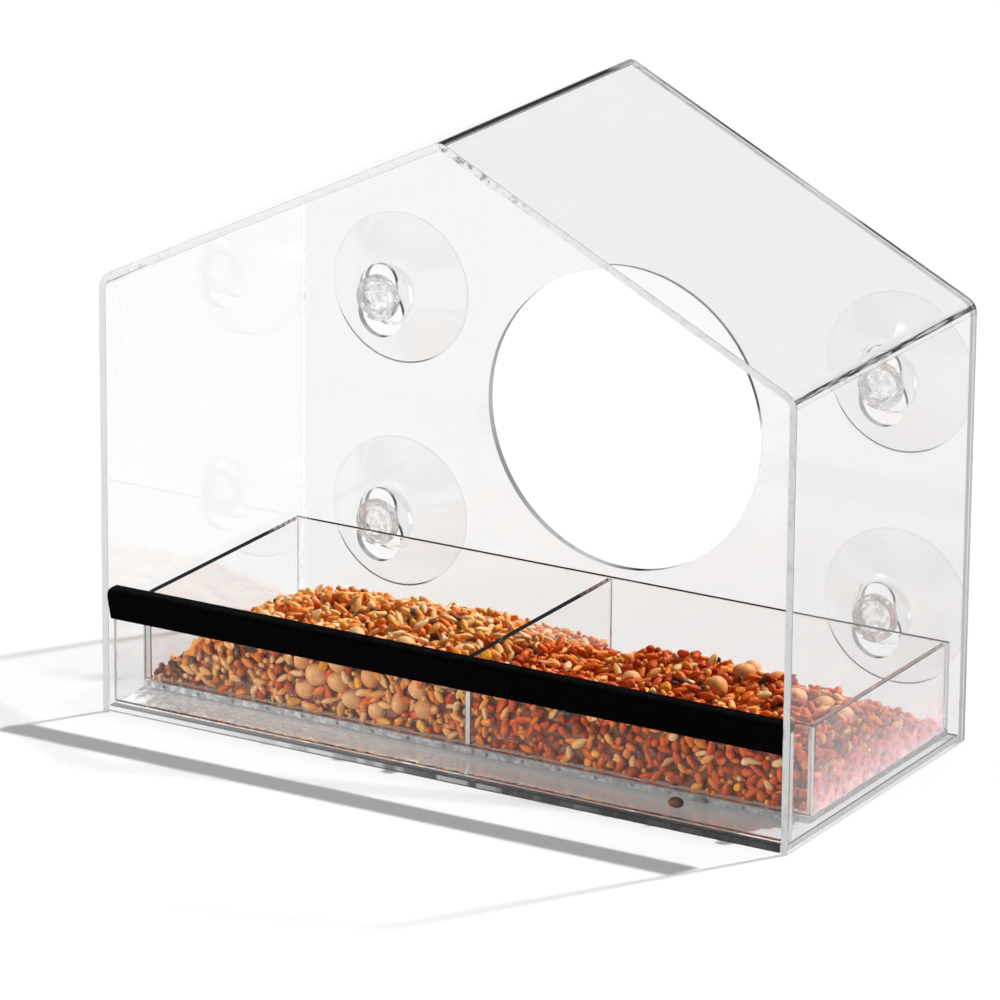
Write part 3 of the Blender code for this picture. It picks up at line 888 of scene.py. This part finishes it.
# %% Finish of the back panel
# Painted reflections around the viewing hole and the keyholes, from grey to black.
HOLE_PAINTED_REFLECTION = (
    (0.00, 0.36, 1), (0.056, 0.20, 1), (0.139, 0.15, 1), (0.167, 0.24, 1), (0.222, 0.38, 1),
    (0.25, 0.10, 1), (0.265, 0.30, 0), (0.515, 0.002, 0), (0.540, 0.002, 1), (0.61, 0.002, 1),
    (0.64, 0.03, 1), (0.67, 0.004, 1), (0.71, 0.005, 1), (0.75, 0.07, 1), (0.79, 0.20, 0),
    (0.88, 0.30, 0), (0.92, 0.26, 1), (0.96, 0.36, 1),
)
KEYHOLE_PAINTED_REFLECTION = (
    (0.00, 0.28, 1), (0.14, 0.12, 1), (0.22, 0.25, 1), (0.27, 0.40, 0), (0.49, 0.01, 0),
    (0.52, 0.004, 1), (0.61, 0.004, 1), (0.67, 0.25, 1), (0.78, 0.10, 1), (0.88, 0.10, 1),
    (0.94, 0.35, 1),
)
LEFT_END = (-0.146, -0.145)


def way_round(tree):
    """How far round its hole a rim has come: 0 at the left, 0.25 at the foot, 0.5 at the right.

    It is told from the normal, which is turned over where the rim is seen through the sheet.
    """
    inward = split(tree, add_node(tree, "ShaderNodeTexCoord").outputs["Normal"])
    from_inside = add_node(tree, "ShaderNodeNewGeometry").outputs["Backfacing"]
    flip = map_range(tree, from_inside, 0.0, 1.0, -1.0, 1.0)
    outward_x, outward_z = (math_node(tree, "MULTIPLY", inward[axis], flip) for axis in "XZ")
    return map_range(tree, math_node(tree, "ARCTAN2", outward_z, outward_x), -math.pi, math.pi)


def back_panel_finish():
    """Clear, with rims painted from grey to black around each hole, a painted reflection of light and dark.
    """
    material, tree, output = start_material("back_acrylic")
    shader = clear_shader(tree, BACK_TINT, ACRYLIC_IOR, SHEET_HAZE, BACK_GLOSS)
    turn = way_round(tree)
    for part, tones in ((ON_HOLE, HOLE_PAINTED_REFLECTION), (ON_KEYHOLE, KEYHOLE_PAINTED_REFLECTION)):
        ramp = tone_ramp(tree, turn, tones)
        cover = math_node(tree, "MULTIPLY", on_part(tree, part), ramp["Alpha"])
        shader = mix_shaders(tree, cover, shader, edge_shader(tree, ramp["Color"], EDGE_GLOW))
    outline = on_part(tree, ON_OUTLINE)
    at_left = map_range(tree, place_on_object(tree)[1]["X"], *LEFT_END, 1.0, 0.0)
    rim = mix(tree, at_left, GREY_EDGE, LEFT_RIM)
    shader = mix_shaders(tree, outline, shader, edge_shader(tree, rim, BACK_GLOW))
    let_lamps_through(tree, output, shader, mix(tree, outline, LAMP_TINT, EDGE_LAMP_TINT))
    add_depth(tree, output, SHEET_DENSITY)
    return material


mark_parts(bm, panel_part)
panel_acrylic = back_panel_finish()
cut_back = finish_piece(bm, "cut_back_panel", "housing", panel_acrylic, flat_walls=True)
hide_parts("back_panel")

# %% [markdown]
# ## Flat panels and the perch strip
# The other panels are plain rectangles with eased edges, and the perch strip is a plain moulding
# of black rubber. The frame already holds them at full quality, so they only need their finish.

# %% Rubber
RUBBER_COLOUR = (0.0007, 0.0006, 0.0006, 1)


def rubber_finish():
    """Matt black with a fine grain, rubbed a little by feet and fingers."""
    material, tree, output = start_material("black_rubber")
    haze = add_haze(tree, 60.0, 0.6, 0.8)
    grain = noise(tree, object_place(tree), 900.0, 2.0)
    shader = principled(
        tree,
        Base_Color=RUBBER_COLOUR,
        Roughness=haze["Roughness"],
        Specular_IOR_Level=0.008,
        Normal=bump_normal(tree, grain, 0.15, 0.0002),
    )
    show(tree, output, shader)
    return material


# %% The frame's own solids get their finish
OWN_FINISHES = {
    "floor_panel": base_acrylic,
    "front_wall": front_acrylic,
    "tray_floor": flat_floor,
    "tray_front_wall": glowing_dusty_front,
    "tray_back_wall": wall_across,
    "tray_left_wall": wall_along,
    "tray_right_wall": glowing_dusty_side,
    "tray_divider": wall_along,
    "perch_strip": rubber_finish(),
}
for name, finish in OWN_FINISHES.items():
    nodes[name].data.materials.clear()
    nodes[name].data.materials.append(finish)
print("solids with a new finish:", len(OWN_FINISHES))

# %% [markdown]
# ## Suction cups
# A cup is one soft moulding, turned about its axis: a button head with a dimple, a neck, a hub
# and a thin dish with a flat sealing lip. A spun profile with many steps is the natural way to
# make it, and the corners of the profile are then rounded ring by ring with a bevel.

# %% Profile of a cup
CUP_SEGMENTS = 72
CUP_DROP = 0.0065
SEAT_GAP = 0.0003
HEAD_THICKNESS = 0.0032
HEAD_RADIUS = 0.0093
DIMPLE_RADIUS = 0.0055
DIMPLE_DEPTH = 0.0016
NECK_RADIUS = 0.0067
HUB_RADIUS = 0.0120
HUB_THICKNESS = 0.0045
DISH_MIDDLE = 0.0215
DISH_BULGE = 0.0008
LIP_THICKNESS = 0.0008
LIP_EDGE = 0.0009
LIP_WIDTH = 0.0020
CAVITY_DEPTH = 0.0078
SOFT_ROUND = 0.0005
HEAD_ROUND = 0.0010
HUB_ROUND = 0.0022
RING_SEGMENTS = 4
MERGE = 0.00001

cup_low, cup_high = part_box("suction_cup_upper_left")
CUP_RADIUS = (cup_high.x - cup_low.x) / 2
standoff = cup_high.y - panel_high.y
head_back = -SHEET - SEAT_GAP
head_front = head_back - HEAD_THICKNESS
hub_back = SEAT_GAP + HUB_THICKNESS
cup_profile = [
    (0, head_front + DIMPLE_DEPTH),
    (DIMPLE_RADIUS, head_front + DIMPLE_DEPTH),
    (DIMPLE_RADIUS, head_front),
    (HEAD_RADIUS, head_front),
    (HEAD_RADIUS, head_back),
    (NECK_RADIUS, head_back),
    (NECK_RADIUS, SEAT_GAP),
    (HUB_RADIUS, SEAT_GAP),
    (HUB_RADIUS, hub_back),
    (DISH_MIDDLE, (hub_back + standoff - LIP_THICKNESS) / 2 - DISH_BULGE),
    (CUP_RADIUS, standoff - LIP_THICKNESS),
    (CUP_RADIUS, standoff),
    (CUP_RADIUS - LIP_EDGE, standoff),
    (CUP_RADIUS - LIP_WIDTH, standoff),
    (DISH_MIDDLE, (2 * standoff - CAVITY_DEPTH) / 2 - DISH_BULGE),
    (HUB_RADIUS, standoff - CAVITY_DEPTH),
    (0, standoff - CAVITY_DEPTH),
]
ROUNDED_RINGS = {
    (DIMPLE_RADIUS, head_front + DIMPLE_DEPTH): HEAD_ROUND,
    (DIMPLE_RADIUS, head_front): SOFT_ROUND,
    (HEAD_RADIUS, head_front): HEAD_ROUND,
    (HEAD_RADIUS, head_back): SOFT_ROUND,
    (HUB_RADIUS, SEAT_GAP): HUB_ROUND / 2,
    (HUB_RADIUS, hub_back): HUB_ROUND,
    (HUB_RADIUS, standoff - CAVITY_DEPTH): HUB_ROUND,
}
print("cups are", 2 * CUP_RADIUS, "across and stand", standoff, "behind the panel")

# %% Parts of a cup
ON_HEAD, ON_HUB, ON_LIP = 1, 2, 3
LIP_SHADE_HEADING = math.radians(-106)
LIP_SHADE_SPREAD = math.radians(55)


def lip_shade(face):
    """1 in the middle of the lip's dark arc, and 0 from its ends on."""
    middle = face.calc_center_median()
    away = abs(math.atan2(middle.z, middle.x) - LIP_SHADE_HEADING)
    return max(0.0, 1.0 - min(away, 2 * math.pi - away) / LIP_SHADE_SPREAD)


def cup_part(face):
    """Which part of a cup, still lying about its own axis, a face belongs to."""
    middle = face.calc_center_median()
    radius = math.hypot(middle.x, middle.z)
    if middle.y < head_back + MERGE:
        return ON_HEAD
    if radius > CUP_RADIUS - LIP_EDGE and middle.y > standoff - 2 * LIP_THICKNESS:
        return ON_LIP
    if radius > NECK_RADIUS and 0 < middle.y < hub_back + HUB_ROUND and radius < HUB_RADIUS + HUB_ROUND:
        return ON_HUB
    return ON_FACE


# %% Cup finish
HEAD_GREY = grey(0.42)
# The head's frost glows a little: painted light.
HEAD_GLOW = 0.2
HEAD_ROUGH = 0.16
HUB_FADE = 0.8


def cup_finish():
    """Soft clear plastic with a frosted head, a hub that hardly shows and an outer lip. The head's grey
    frost glows a little, painted light.

    The lip carries a painted dark arc along its lower left, a painted reflection of the floor's shadows.
    """
    material, tree, output = start_material("clear_soft_plastic")
    head = on_part(tree, ON_HEAD)
    tint = mix(tree, head, SOFT_TINT, HEAD_TINT)
    head_rough = math_node(tree, "MULTIPLY", head, HEAD_ROUGH)
    shader = clear_shader(tree, tint, SOFT_IOR, SOFT_HAZE, SOFT_GLOSS, head_rough)
    frost = map_range(tree, noise(tree, object_place(tree), 420.0, 2.0), 0.40, 0.62, 0.05, 0.55)
    frosted = edge_shader(tree, HEAD_GREY, HEAD_GLOW)
    shader = mix_shaders(tree, math_node(tree, "MULTIPLY", head, frost), shader, frosted)
    film = add_node(tree, "ShaderNodeBsdfTransparent", Color=LAMP_TINT)
    shader = mix_shaders(tree, math_node(tree, "MULTIPLY", on_part(tree, ON_HUB), HUB_FADE), shader, film)
    arc = map_range(tree, stored(tree, "shade"), 0.0, 0.35, 0.06, 1.0)
    lip = mix_shaders(tree, arc, film, edge_shader(tree, DARK_FLECK_AND_SHADE, 0.0))
    shader = mix_shaders(tree, on_part(tree, ON_LIP), shader, lip)
    let_lamps_through(tree, output, shader, LAMP_TINT)
    add_depth(tree, output, SOFT_DENSITY)
    return material


# %% Turned and rounded bodies
def turn_profile(profile, segments):
    """A closed body turned about +Y."""
    bm = bmesh.new()
    points = [bm.verts.new((radius, along, 0)) for radius, along in profile]
    lines = [bm.edges.new(pair) for pair in zip(points, points[1:])]
    bmesh.ops.spin(
        bm,
        geom=points + lines,
        cent=(0, 0, 0),
        axis=(0, 1, 0),
        angle=2 * math.pi,
        steps=segments,
        use_merge=True,
    )
    bmesh.ops.remove_doubles(bm, verts=bm.verts, dist=MERGE)
    bmesh.ops.recalc_face_normals(bm, faces=bm.faces)
    return bm


def round_ring(bm, radius, along, width):
    """Rounds the ring of edges at one corner of the profile."""
    def on_ring(vertex):
        """Whether a point lies on the corner's ring."""
        out = math.hypot(vertex.co.x, vertex.co.z)
        return abs(out - radius) < MERGE and abs(vertex.co.y - along) < MERGE

    ring = [edge for edge in bm.edges if on_ring(edge.verts[0]) and on_ring(edge.verts[1])]
    round_off(bm, ring, width, RING_SEGMENTS)


# %% Four cups
soft_clear = cup_finish()
for row_name, slot_height in SLOT_HEIGHTS.items():
    for side_name, side in (("left", -1), ("right", 1)):
        bm = turn_profile(cup_profile, CUP_SEGMENTS)
        for (radius, ring_place), width in ROUNDED_RINGS.items():
            round_ring(bm, radius, ring_place, width)
        mark_parts(bm, cup_part)
        shade = bm.faces.layers.float.new("shade")
        for face in bm.faces:
            face[shade] = lip_shade(face)
        seat = (side * CUP_COLUMN, panel_high.y, slot_height - CUP_DROP)
        bmesh.ops.translate(bm, verts=bm.verts, vec=seat)
        place = f"{row_name}_{side_name}"
        name = f"cup_{place}"
        cup = finish_piece(bm, name, name, soft_clear, flat_walls=True)
        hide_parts(f"suction_cup_{place}")

# %% [markdown]
# ## Loose seed
# The tray holds a wild bird mix: long tan grains, round red-brown seeds, yellow cracked corn,
# pale husks, dark seeds, fine millet and a few big peas. Each kind is one small mesh made from
# a sphere, because thousands of copies have to stay light. The look comes from the number of
# kinds, from their lie against the heap and the walls, and from a tone that differs from seed
# to seed.

# %% One mesh for each kind of seed
def seed_ball(segments, rings):
    """A ball with its poles along X, as a seed's ends lie."""
    bm = bmesh.new()
    bmesh.ops.create_uvsphere(bm, u_segments=segments, v_segments=rings, radius=1.0)
    turn = Matrix.Rotation(math.pi / 2, 3, "Y")
    bmesh.ops.rotate(bm, verts=bm.verts, cent=(0, 0, 0), matrix=turn)
    return bm


def grain_shape():
    """A long grain: blunt at one end, pointed at the other, with a crease along its belly."""
    bm = seed_ball(8, 7)
    for v in bm.verts:
        slim = 1.0 - 0.28 * max(0.0, v.co.x)
        v.co.y *= slim
        v.co.z *= slim * (0.72 if v.co.z > 0.85 else 1.0)
    return bm


def husk_shape():
    """An empty husk: a thin boat that curls along its length."""
    bm = seed_ball(8, 6)
    for v in bm.verts:
        v.co.y *= 1.0 - 0.35 * abs(v.co.x)
        v.co.z = 0.55 * v.co.z + 0.5 * v.co.x ** 2
    return bm


def chip_shape():
    """A chip of cracked corn: a ball with two flat breaks."""
    bm = bmesh.new()
    bmesh.ops.create_icosphere(bm, subdivisions=2, radius=1.0)
    for v in bm.verts:
        v.co.x = max(-0.62, min(0.75, v.co.x + 0.25 * v.co.y))
        v.co.z = max(-0.55, min(0.6, v.co.z - 0.2 * v.co.x))
    return bm


def round_shape():
    """A small round seed."""
    return seed_ball(8, 6)


def pea_shape():
    """A dried pea: not quite round, with a shallow dent."""
    bm = seed_ball(14, 10)
    for v in bm.verts:
        v.co *= 1.0 - 0.10 * max(0.0, v.co.z) ** 4 + 0.03 * math.sin(3 * v.co.x + 2 * v.co.y)
    return bm


# Each kind has a shape, its half sizes and the spread of its sizes.
SEED_KINDS = {
    "pea": (pea_shape, (0.0044, 0.0043, 0.0042), 0.08),
    "grain": (grain_shape, (0.0031, 0.0015, 0.0014), 0.14),
    "chip": (chip_shape, (0.0027, 0.0023, 0.0019), 0.22),
    "husk": (husk_shape, (0.0038, 0.0014, 0.0010), 0.18),
    "round_seed": (round_shape, (0.0019, 0.0018, 0.0017), 0.14),
    "dark_seed": (grain_shape, (0.0023, 0.0013, 0.0011), 0.15),
    "millet": (round_shape, (0.0011, 0.00105, 0.0010), 0.12),
}


def shape_arrays(make):
    """Corner places and faces of a seed's mesh, as arrays."""
    bm = make()
    bmesh.ops.recalc_face_normals(bm, faces=bm.faces)
    bmesh.ops.triangulate(bm, faces=bm.faces[:])
    bm.verts.index_update()
    places = np.array([v.co[:] for v in bm.verts])
    faces = np.array([[v.index for v in face.verts] for face in bm.faces])
    bm.free()
    return places, faces


seed_arrays = {kind: shape_arrays(data[0]) for kind, data in SEED_KINDS.items()}
print("triangles in each seed:", {kind: len(arrays[1]) for kind, arrays in seed_arrays.items()})

# %% [markdown]
# ## Where the seeds lie
# Pouring six thousand seeds in a rigid-body simulation would take hours. Only the outer few
# millimetres of a heap can be seen, so the seeds are thrown one after another into that skin,
# the peas first, and a throw that lands too deep in an earlier seed is dropped. The frame's heap
# gives the surface, and each seed lies along the nearest surface or wall, with a tilt of its own.

# %% Throwing seeds into the skin of a heap
random.seed(41)
SKIN = 0.0062
RISE = 0.0013
WALL_SKIN = 0.0052
CELL = 0.0045
SURFACE_TILT = 0.33
PEA_ROOM = 1.12


def heap_tree(name):
    """One of the frame's heaps, ready to be hit by rays."""
    mesh = nodes[name].data
    return BVHTree.FromPolygons([v.co for v in mesh.vertices], [p.vertices for p in mesh.polygons])


def seed_turn(normal, tilt):
    """A turn that lays a seed's flat side against a surface, with its long side any way round."""
    lean = Vector((random.gauss(0, tilt), random.gauss(0, tilt), random.gauss(0, tilt)))
    up = (Vector(normal) + lean).normalized()
    spin = Matrix.Rotation(random.uniform(0, 2 * math.pi), 3, up)
    return spin @ up.to_track_quat("Z", "X").to_matrix()


def fill_bay(heap, wanted, piled):
    """Kind, place, turn, size and tone of each seed in one bay.

    wanted lists kinds, each with its throws, how close its seeds may lie and where they may.
    piled gives how high seed is piled over the frame's heap at a place.
    """
    tree = heap_tree(heap)
    low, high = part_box(heap)
    taken = {}
    seeds = []

    def free(place, radius, closeness):
        """Takes a place for a seed, unless an earlier seed lies too close."""
        key = tuple(int(math.floor(c / CELL)) for c in place)
        reach = 2 if radius > CELL / 2 else 1
        for i, j, k in itertools.product(range(-reach, reach + 1), repeat=3):
            for other, other_radius in taken.get((key[0] + i, key[1] + j, key[2] + k), ()):
                if (place - other).length < (radius + other_radius) * closeness:
                    return False
        taken.setdefault(key, []).append((place, radius))
        return True

    for kind, throws, closeness, where in wanted:
        _, size, spread = SEED_KINDS[kind]
        room = PEA_ROOM if kind == "pea" else 1.0
        for _ in range(throws):
            x = random.uniform(low.x, high.x)
            y = random.uniform(low.y, high.y)
            hit = tree.ray_cast(Vector((x, y, 1)), Vector((0, 0, -1)))
            if hit[0] is None:
                continue
            top = hit[0].z + RISE + piled(x, y)
            z = random.uniform(low.z, top)
            walls = {
                (-1, 0, 0): x - low.x,
                (1, 0, 0): high.x - x,
                (0, -1, 0): y - low.y,
                (0, 1, 0): high.y - y,
            }
            side = min(walls, key=walls.get)
            from_top = (top - z) * hit[1].z
            if min(from_top - SKIN, walls[side] - WALL_SKIN) > 0:
                continue
            if where and not where(x, y, z, top):
                continue
            normal = hit[1] if from_top < walls[side] else Vector(side)
            scale = [part * random.gauss(1, spread) for part in size]
            turn = seed_turn(normal, SURFACE_TILT)
            reach = [math.sqrt(sum((turn[row][c] * scale[c]) ** 2 for c in range(3))) for row in range(3)]
            place = Vector((
                min(max(x, low.x + reach[0]), high.x - reach[0]),
                min(max(y, low.y + reach[1]), high.y - reach[1]),
                max(z, low.z + reach[2]),
            ))
            radius = room * (scale[0] * scale[1] * scale[2]) ** (1 / 3)
            if free(place, radius, closeness):
                seeds.append((kind, place, turn, scale, random.random()))
    return seeds


# %% Where some kinds gather
PEA_PATCH = (-0.078, -0.012)
PEA_BACK = -0.03
PEA_FOOT = 0.011
CREST_SKIN = 0.003
CREST_LEFT = 0.03
CREST_BACK = 0.018
SLOPE_FOOT = -0.128
PILE_PLACE = (0.062, 0.010)
PILE_REACH = (0.045, 0.025)
PILE_HEIGHT = 0.0026


def left_front(x, y, z, top):
    """Big peas gather behind the front wall of the left bay."""
    return y < PEA_BACK and PEA_PATCH[0] < x < PEA_PATCH[1] and z > PEA_FOOT


def right_crest(x, y, z, top):
    """A few peas lie on the right heap's crest."""
    return z > top - CREST_SKIN and x > CREST_LEFT and y < CREST_BACK


def left_foot(x, y, z, top):
    """Dark grains have run to the foot of the left slope."""
    return x < SLOPE_FOOT and y < 0.0


def level(x, y):
    """Nothing is piled over the left heap."""
    return 0.0


def right_pile(x, y):
    """The last handful lies on the crest of the right heap."""
    distance = math.hypot((x - PILE_PLACE[0]) / PILE_REACH[0], (y - PILE_PLACE[1]) / PILE_REACH[1])
    return PILE_HEIGHT * max(0.0, 1.0 - distance ** 2)


# %% The mix in each bay
mix_left = [
    ("pea", 5200, 0.80, left_front),
    ("dark_seed", 1500, 0.80, left_foot),
    ("round_seed", 1500, 0.86, None),
    ("grain", 16000, 0.80, None),
    ("chip", 1900, 0.84, None),
    ("husk", 1100, 0.80, None),
    ("round_seed", 5200, 0.86, None),
    ("dark_seed", 1500, 0.82, None),
    ("millet", 9000, 0.86, None),
]
mix_right = [
    ("pea", 260, 0.90, right_crest),
    ("round_seed", 1300, 0.86, None),
    ("grain", 17000, 0.80, None),
    ("chip", 1900, 0.84, None),
    ("husk", 320, 0.80, None),
    ("round_seed", 6200, 0.86, None),
    ("dark_seed", 1200, 0.82, None),
    ("millet", 7000, 0.86, None),
]
bays = {
    "left": fill_bay("seed_heap_left", mix_left, level),
    "right": fill_bay("seed_heap_right", mix_right, right_pile),
}
for bay, seeds in bays.items():
    counts = {kind: sum(1 for seed in seeds if seed[0] == kind) for kind in SEED_KINDS}
    print(bay, "bay:", len(seeds), "seeds", counts)

# %% [markdown]
# ## Seed skins
# Every kind shares one tree: a ramp that reads the seed's own tone, mottling at the scale of
# the seed, and a soft waxy gloss. The tone is stored on the mesh, because all seeds of a kind
# are one object and an object has only one random value.

# %% Seed finish
def build_seed_skin():
    """Mottles a seed's colour and gives its skin a height."""
    takes = {"Colour": COLOUR, "Mottle": FLOAT}
    group, given, made = start_group("seed_skin", takes, {"Colour": COLOUR, "Height": FLOAT})
    place = object_place(group)
    shade = map_range(group, noise(group, place, 420.0, 3.0), 0.35, 0.65, 0.6, 1.25)
    group.links.new(mix(group, given["Mottle"], given["Colour"], shade, blend="MULTIPLY"), made["Colour"])
    group.links.new(noise(group, place, 1500.0, 2.0), made["Height"])
    return group


seed_skin_group = build_seed_skin()

# Each kind runs from its reddest or darkest colour to its palest.
SEED_COLOURS = {
    "pea": ((0.84, 0.37, 0.12), (0.93, 0.48, 0.19), (0.95, 0.57, 0.28)),
    "grain": (
        (0.70, 0.10, 0.015), (0.89, 0.20, 0.03), (0.95, 0.34, 0.06), (0.96, 0.49, 0.14), (0.98, 0.68, 0.36),
    ),
    "chip": ((0.92, 0.26, 0.015), (0.96, 0.44, 0.03), (0.98, 0.62, 0.12)),
    "husk": ((0.82, 0.42, 0.16), (0.93, 0.64, 0.36), (0.96, 0.80, 0.58)),
    "round_seed": ((0.42, 0.05, 0.01), (0.62, 0.09, 0.02), (0.80, 0.19, 0.03), (0.92, 0.36, 0.08)),
    "dark_seed": ((0.05, 0.035, 0.045), (0.08, 0.05, 0.045), (0.15, 0.07, 0.04)),
    "millet": ((0.78, 0.26, 0.04), (0.92, 0.47, 0.10), (0.95, 0.68, 0.30)),
}
# How strongly each kind is mottled, and how rough its skin is.
SEED_SURFACES = {
    "pea": (0.35, 0.42),
    "grain": (0.45, 0.36),
    "chip": (0.35, 0.42),
    "husk": (0.35, 0.50),
    "round_seed": (0.45, 0.34),
    "dark_seed": (0.60, 0.34),
    "millet": (0.30, 0.38),
}
SEED_GLOSS = 0.16
WAX_TINT = (1.0, 0.62, 0.42, 1)


def seed_finish(kind):
    """The seed's own tone picks its colour, from the reddest to the palest of its kind."""
    colours = SEED_COLOURS[kind]
    mottle, roughness = SEED_SURFACES[kind]
    material, tree, output = start_material(kind + "_skin")
    stops = [(index / (len(colours) - 1), colour, 1) for index, colour in enumerate(colours)]
    skin = add_node(tree, "ShaderNodeGroup", {"node_tree": seed_skin_group})
    tree.links.new(tone_ramp(tree, stored(tree, "tone"), stops)["Color"], skin.inputs["Colour"])
    skin.inputs["Mottle"].default_value = mottle
    shader = principled(
        tree,
        Base_Color=skin.outputs["Colour"],
        Roughness=roughness,
        Specular_IOR_Level=SEED_GLOSS,
        Specular_Tint=WAX_TINT,
        Normal=bump_normal(tree, skin.outputs["Height"], 0.35, 0.0003),
    )
    show(tree, output, shader)
    return material


seed_finishes = {kind: seed_finish(kind) for kind in SEED_KINDS}
print("seed skins:", [finish.name for finish in seed_finishes.values()])

# %% Joining the seeds of a kind
# The tones lean by bay and by row: partly the mix of seed, partly painted light and shade, with a paler top
# and a darker front row.
TONE_AND_SHADE_LEAN = {"left": (0.45, 0.80), "right": (2.6, 3.2)}
FRONT_ROW = -0.037


def join_seeds(bay, kind, seeds):
    """All seeds of one kind in one bay, as one piece with a tone on each seed.

    The front row, behind the tray's wall, is redder and darker than the top of the heap, and the left heap's
    top is paler: partly the mix, partly painted shade and painted light.
    """
    places, faces = seed_arrays[kind]
    turned = [
        (places * np.array(scale)) @ np.array(turn).T + np.array(place)
        for _, place, turn, scale, _ in seeds
    ]
    steps = np.arange(len(seeds))[:, None, None] * len(places)
    all_faces = (faces[None] + steps).reshape(-1, 3)
    mesh = bpy.data.meshes.new(f"{kind}_{bay}")
    mesh.from_pydata(np.concatenate(turned).tolist(), [], all_faces.tolist())
    mesh.shade_smooth()
    tones = mesh.attributes.new("tone", "FLOAT", "POINT")
    on_top, in_front = TONE_AND_SHADE_LEAN[bay]
    leaning = [tone ** (in_front if place.y < FRONT_ROW else on_top) for _, place, _, _, tone in seeds]
    tones.data.foreach_set("value", np.repeat(leaning, len(places)).astype(np.float32))
    mesh.materials.append(seed_finishes[kind])
    piece = bpy.data.objects.new(mesh.name, mesh)
    scene.collection.objects.link(piece)
    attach(piece, "tray")
    return len(all_faces)


total = 0
for bay, seeds in bays.items():
    for kind in SEED_KINDS:
        chosen = [seed for seed in seeds if seed[0] == kind]
        if chosen:
            total += join_seeds(bay, kind, chosen)
print("seed triangles:", total)

# %% [markdown]
# ## One seed that got away
# A single dark seed has rolled over the tray's wall and lies in the gutter behind the front wall.
# It belongs to the housing and not to the tray, so it stays behind when the tray is lifted.

# %% Stray seed
STRAY_PLACE = (0.095, -0.056)
STRAY_SIZE = (0.0031, 0.0024, 0.0021)
STRAY_TONE = 1.0

bm = seed_ball(16, 12)
bmesh.ops.scale(bm, verts=bm.verts, vec=STRAY_SIZE)
bmesh.ops.translate(bm, verts=bm.verts, vec=(*STRAY_PLACE, base_high.z + STRAY_SIZE[2]))
stray = finish_piece(bm, "stray_seed", "housing", seed_finishes["dark_seed"])
tones = stray.data.attributes.new("tone", "FLOAT", "POINT")
tones.data.foreach_set("value", [STRAY_TONE] * len(stray.data.vertices))

# %% [markdown]
# ## The inside of a heap
# Between the outer seeds the eye falls on deeper ones in shadow. A dark, rough core just under
# the skin stands for them. It is a merged copy of the frame's heap, drawn in from its walls
# and lowered, so no light leaks through.

# %% Heap cores
CORE_INSET = 0.0036
CORE_DROP = 0.0036
CORE_FLOOR_GAP = 0.0002
CORE_TONES = ((0.0, (0.30, 0.10, 0.03), 1), (1.0, (0.05, 0.018, 0.008), 1))


def core_finish():
    """Seeds in deep shadow: cells with dark gaps between them."""
    material, tree, output = start_material("deep_seed")
    cells = add_node(tree, "ShaderNodeTexVoronoi", Vector=object_place(tree), Scale=300.0)
    distance = cells.outputs["Distance"]
    shader = principled(
        tree,
        Base_Color=tone_ramp(tree, distance, CORE_TONES)["Color"],
        Roughness=0.7,
        Normal=bump_normal(tree, distance, 0.8, 0.0015, sunk=True),
    )
    show(tree, output, shader)
    return material


deep_seed = core_finish()
for bay in bays:
    heap = "seed_heap_" + bay
    low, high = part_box(heap)
    bm = bmesh.new()
    bm.from_mesh(nodes[heap].data)
    bmesh.ops.remove_doubles(bm, verts=bm.verts, dist=MERGE)
    for v in bm.verts:
        v.co.x = min(max(v.co.x, low.x + CORE_INSET), high.x - CORE_INSET)
        v.co.y = min(max(v.co.y, low.y + CORE_INSET), high.y - CORE_INSET)
        if v.co.z > low.z + MERGE:
            v.co.z = max(v.co.z - CORE_DROP, low.z + CORE_FLOOR_GAP)
    core = finish_piece(bm, "heap_core_" + bay, "tray", deep_seed, SHARP)
    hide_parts(heap)
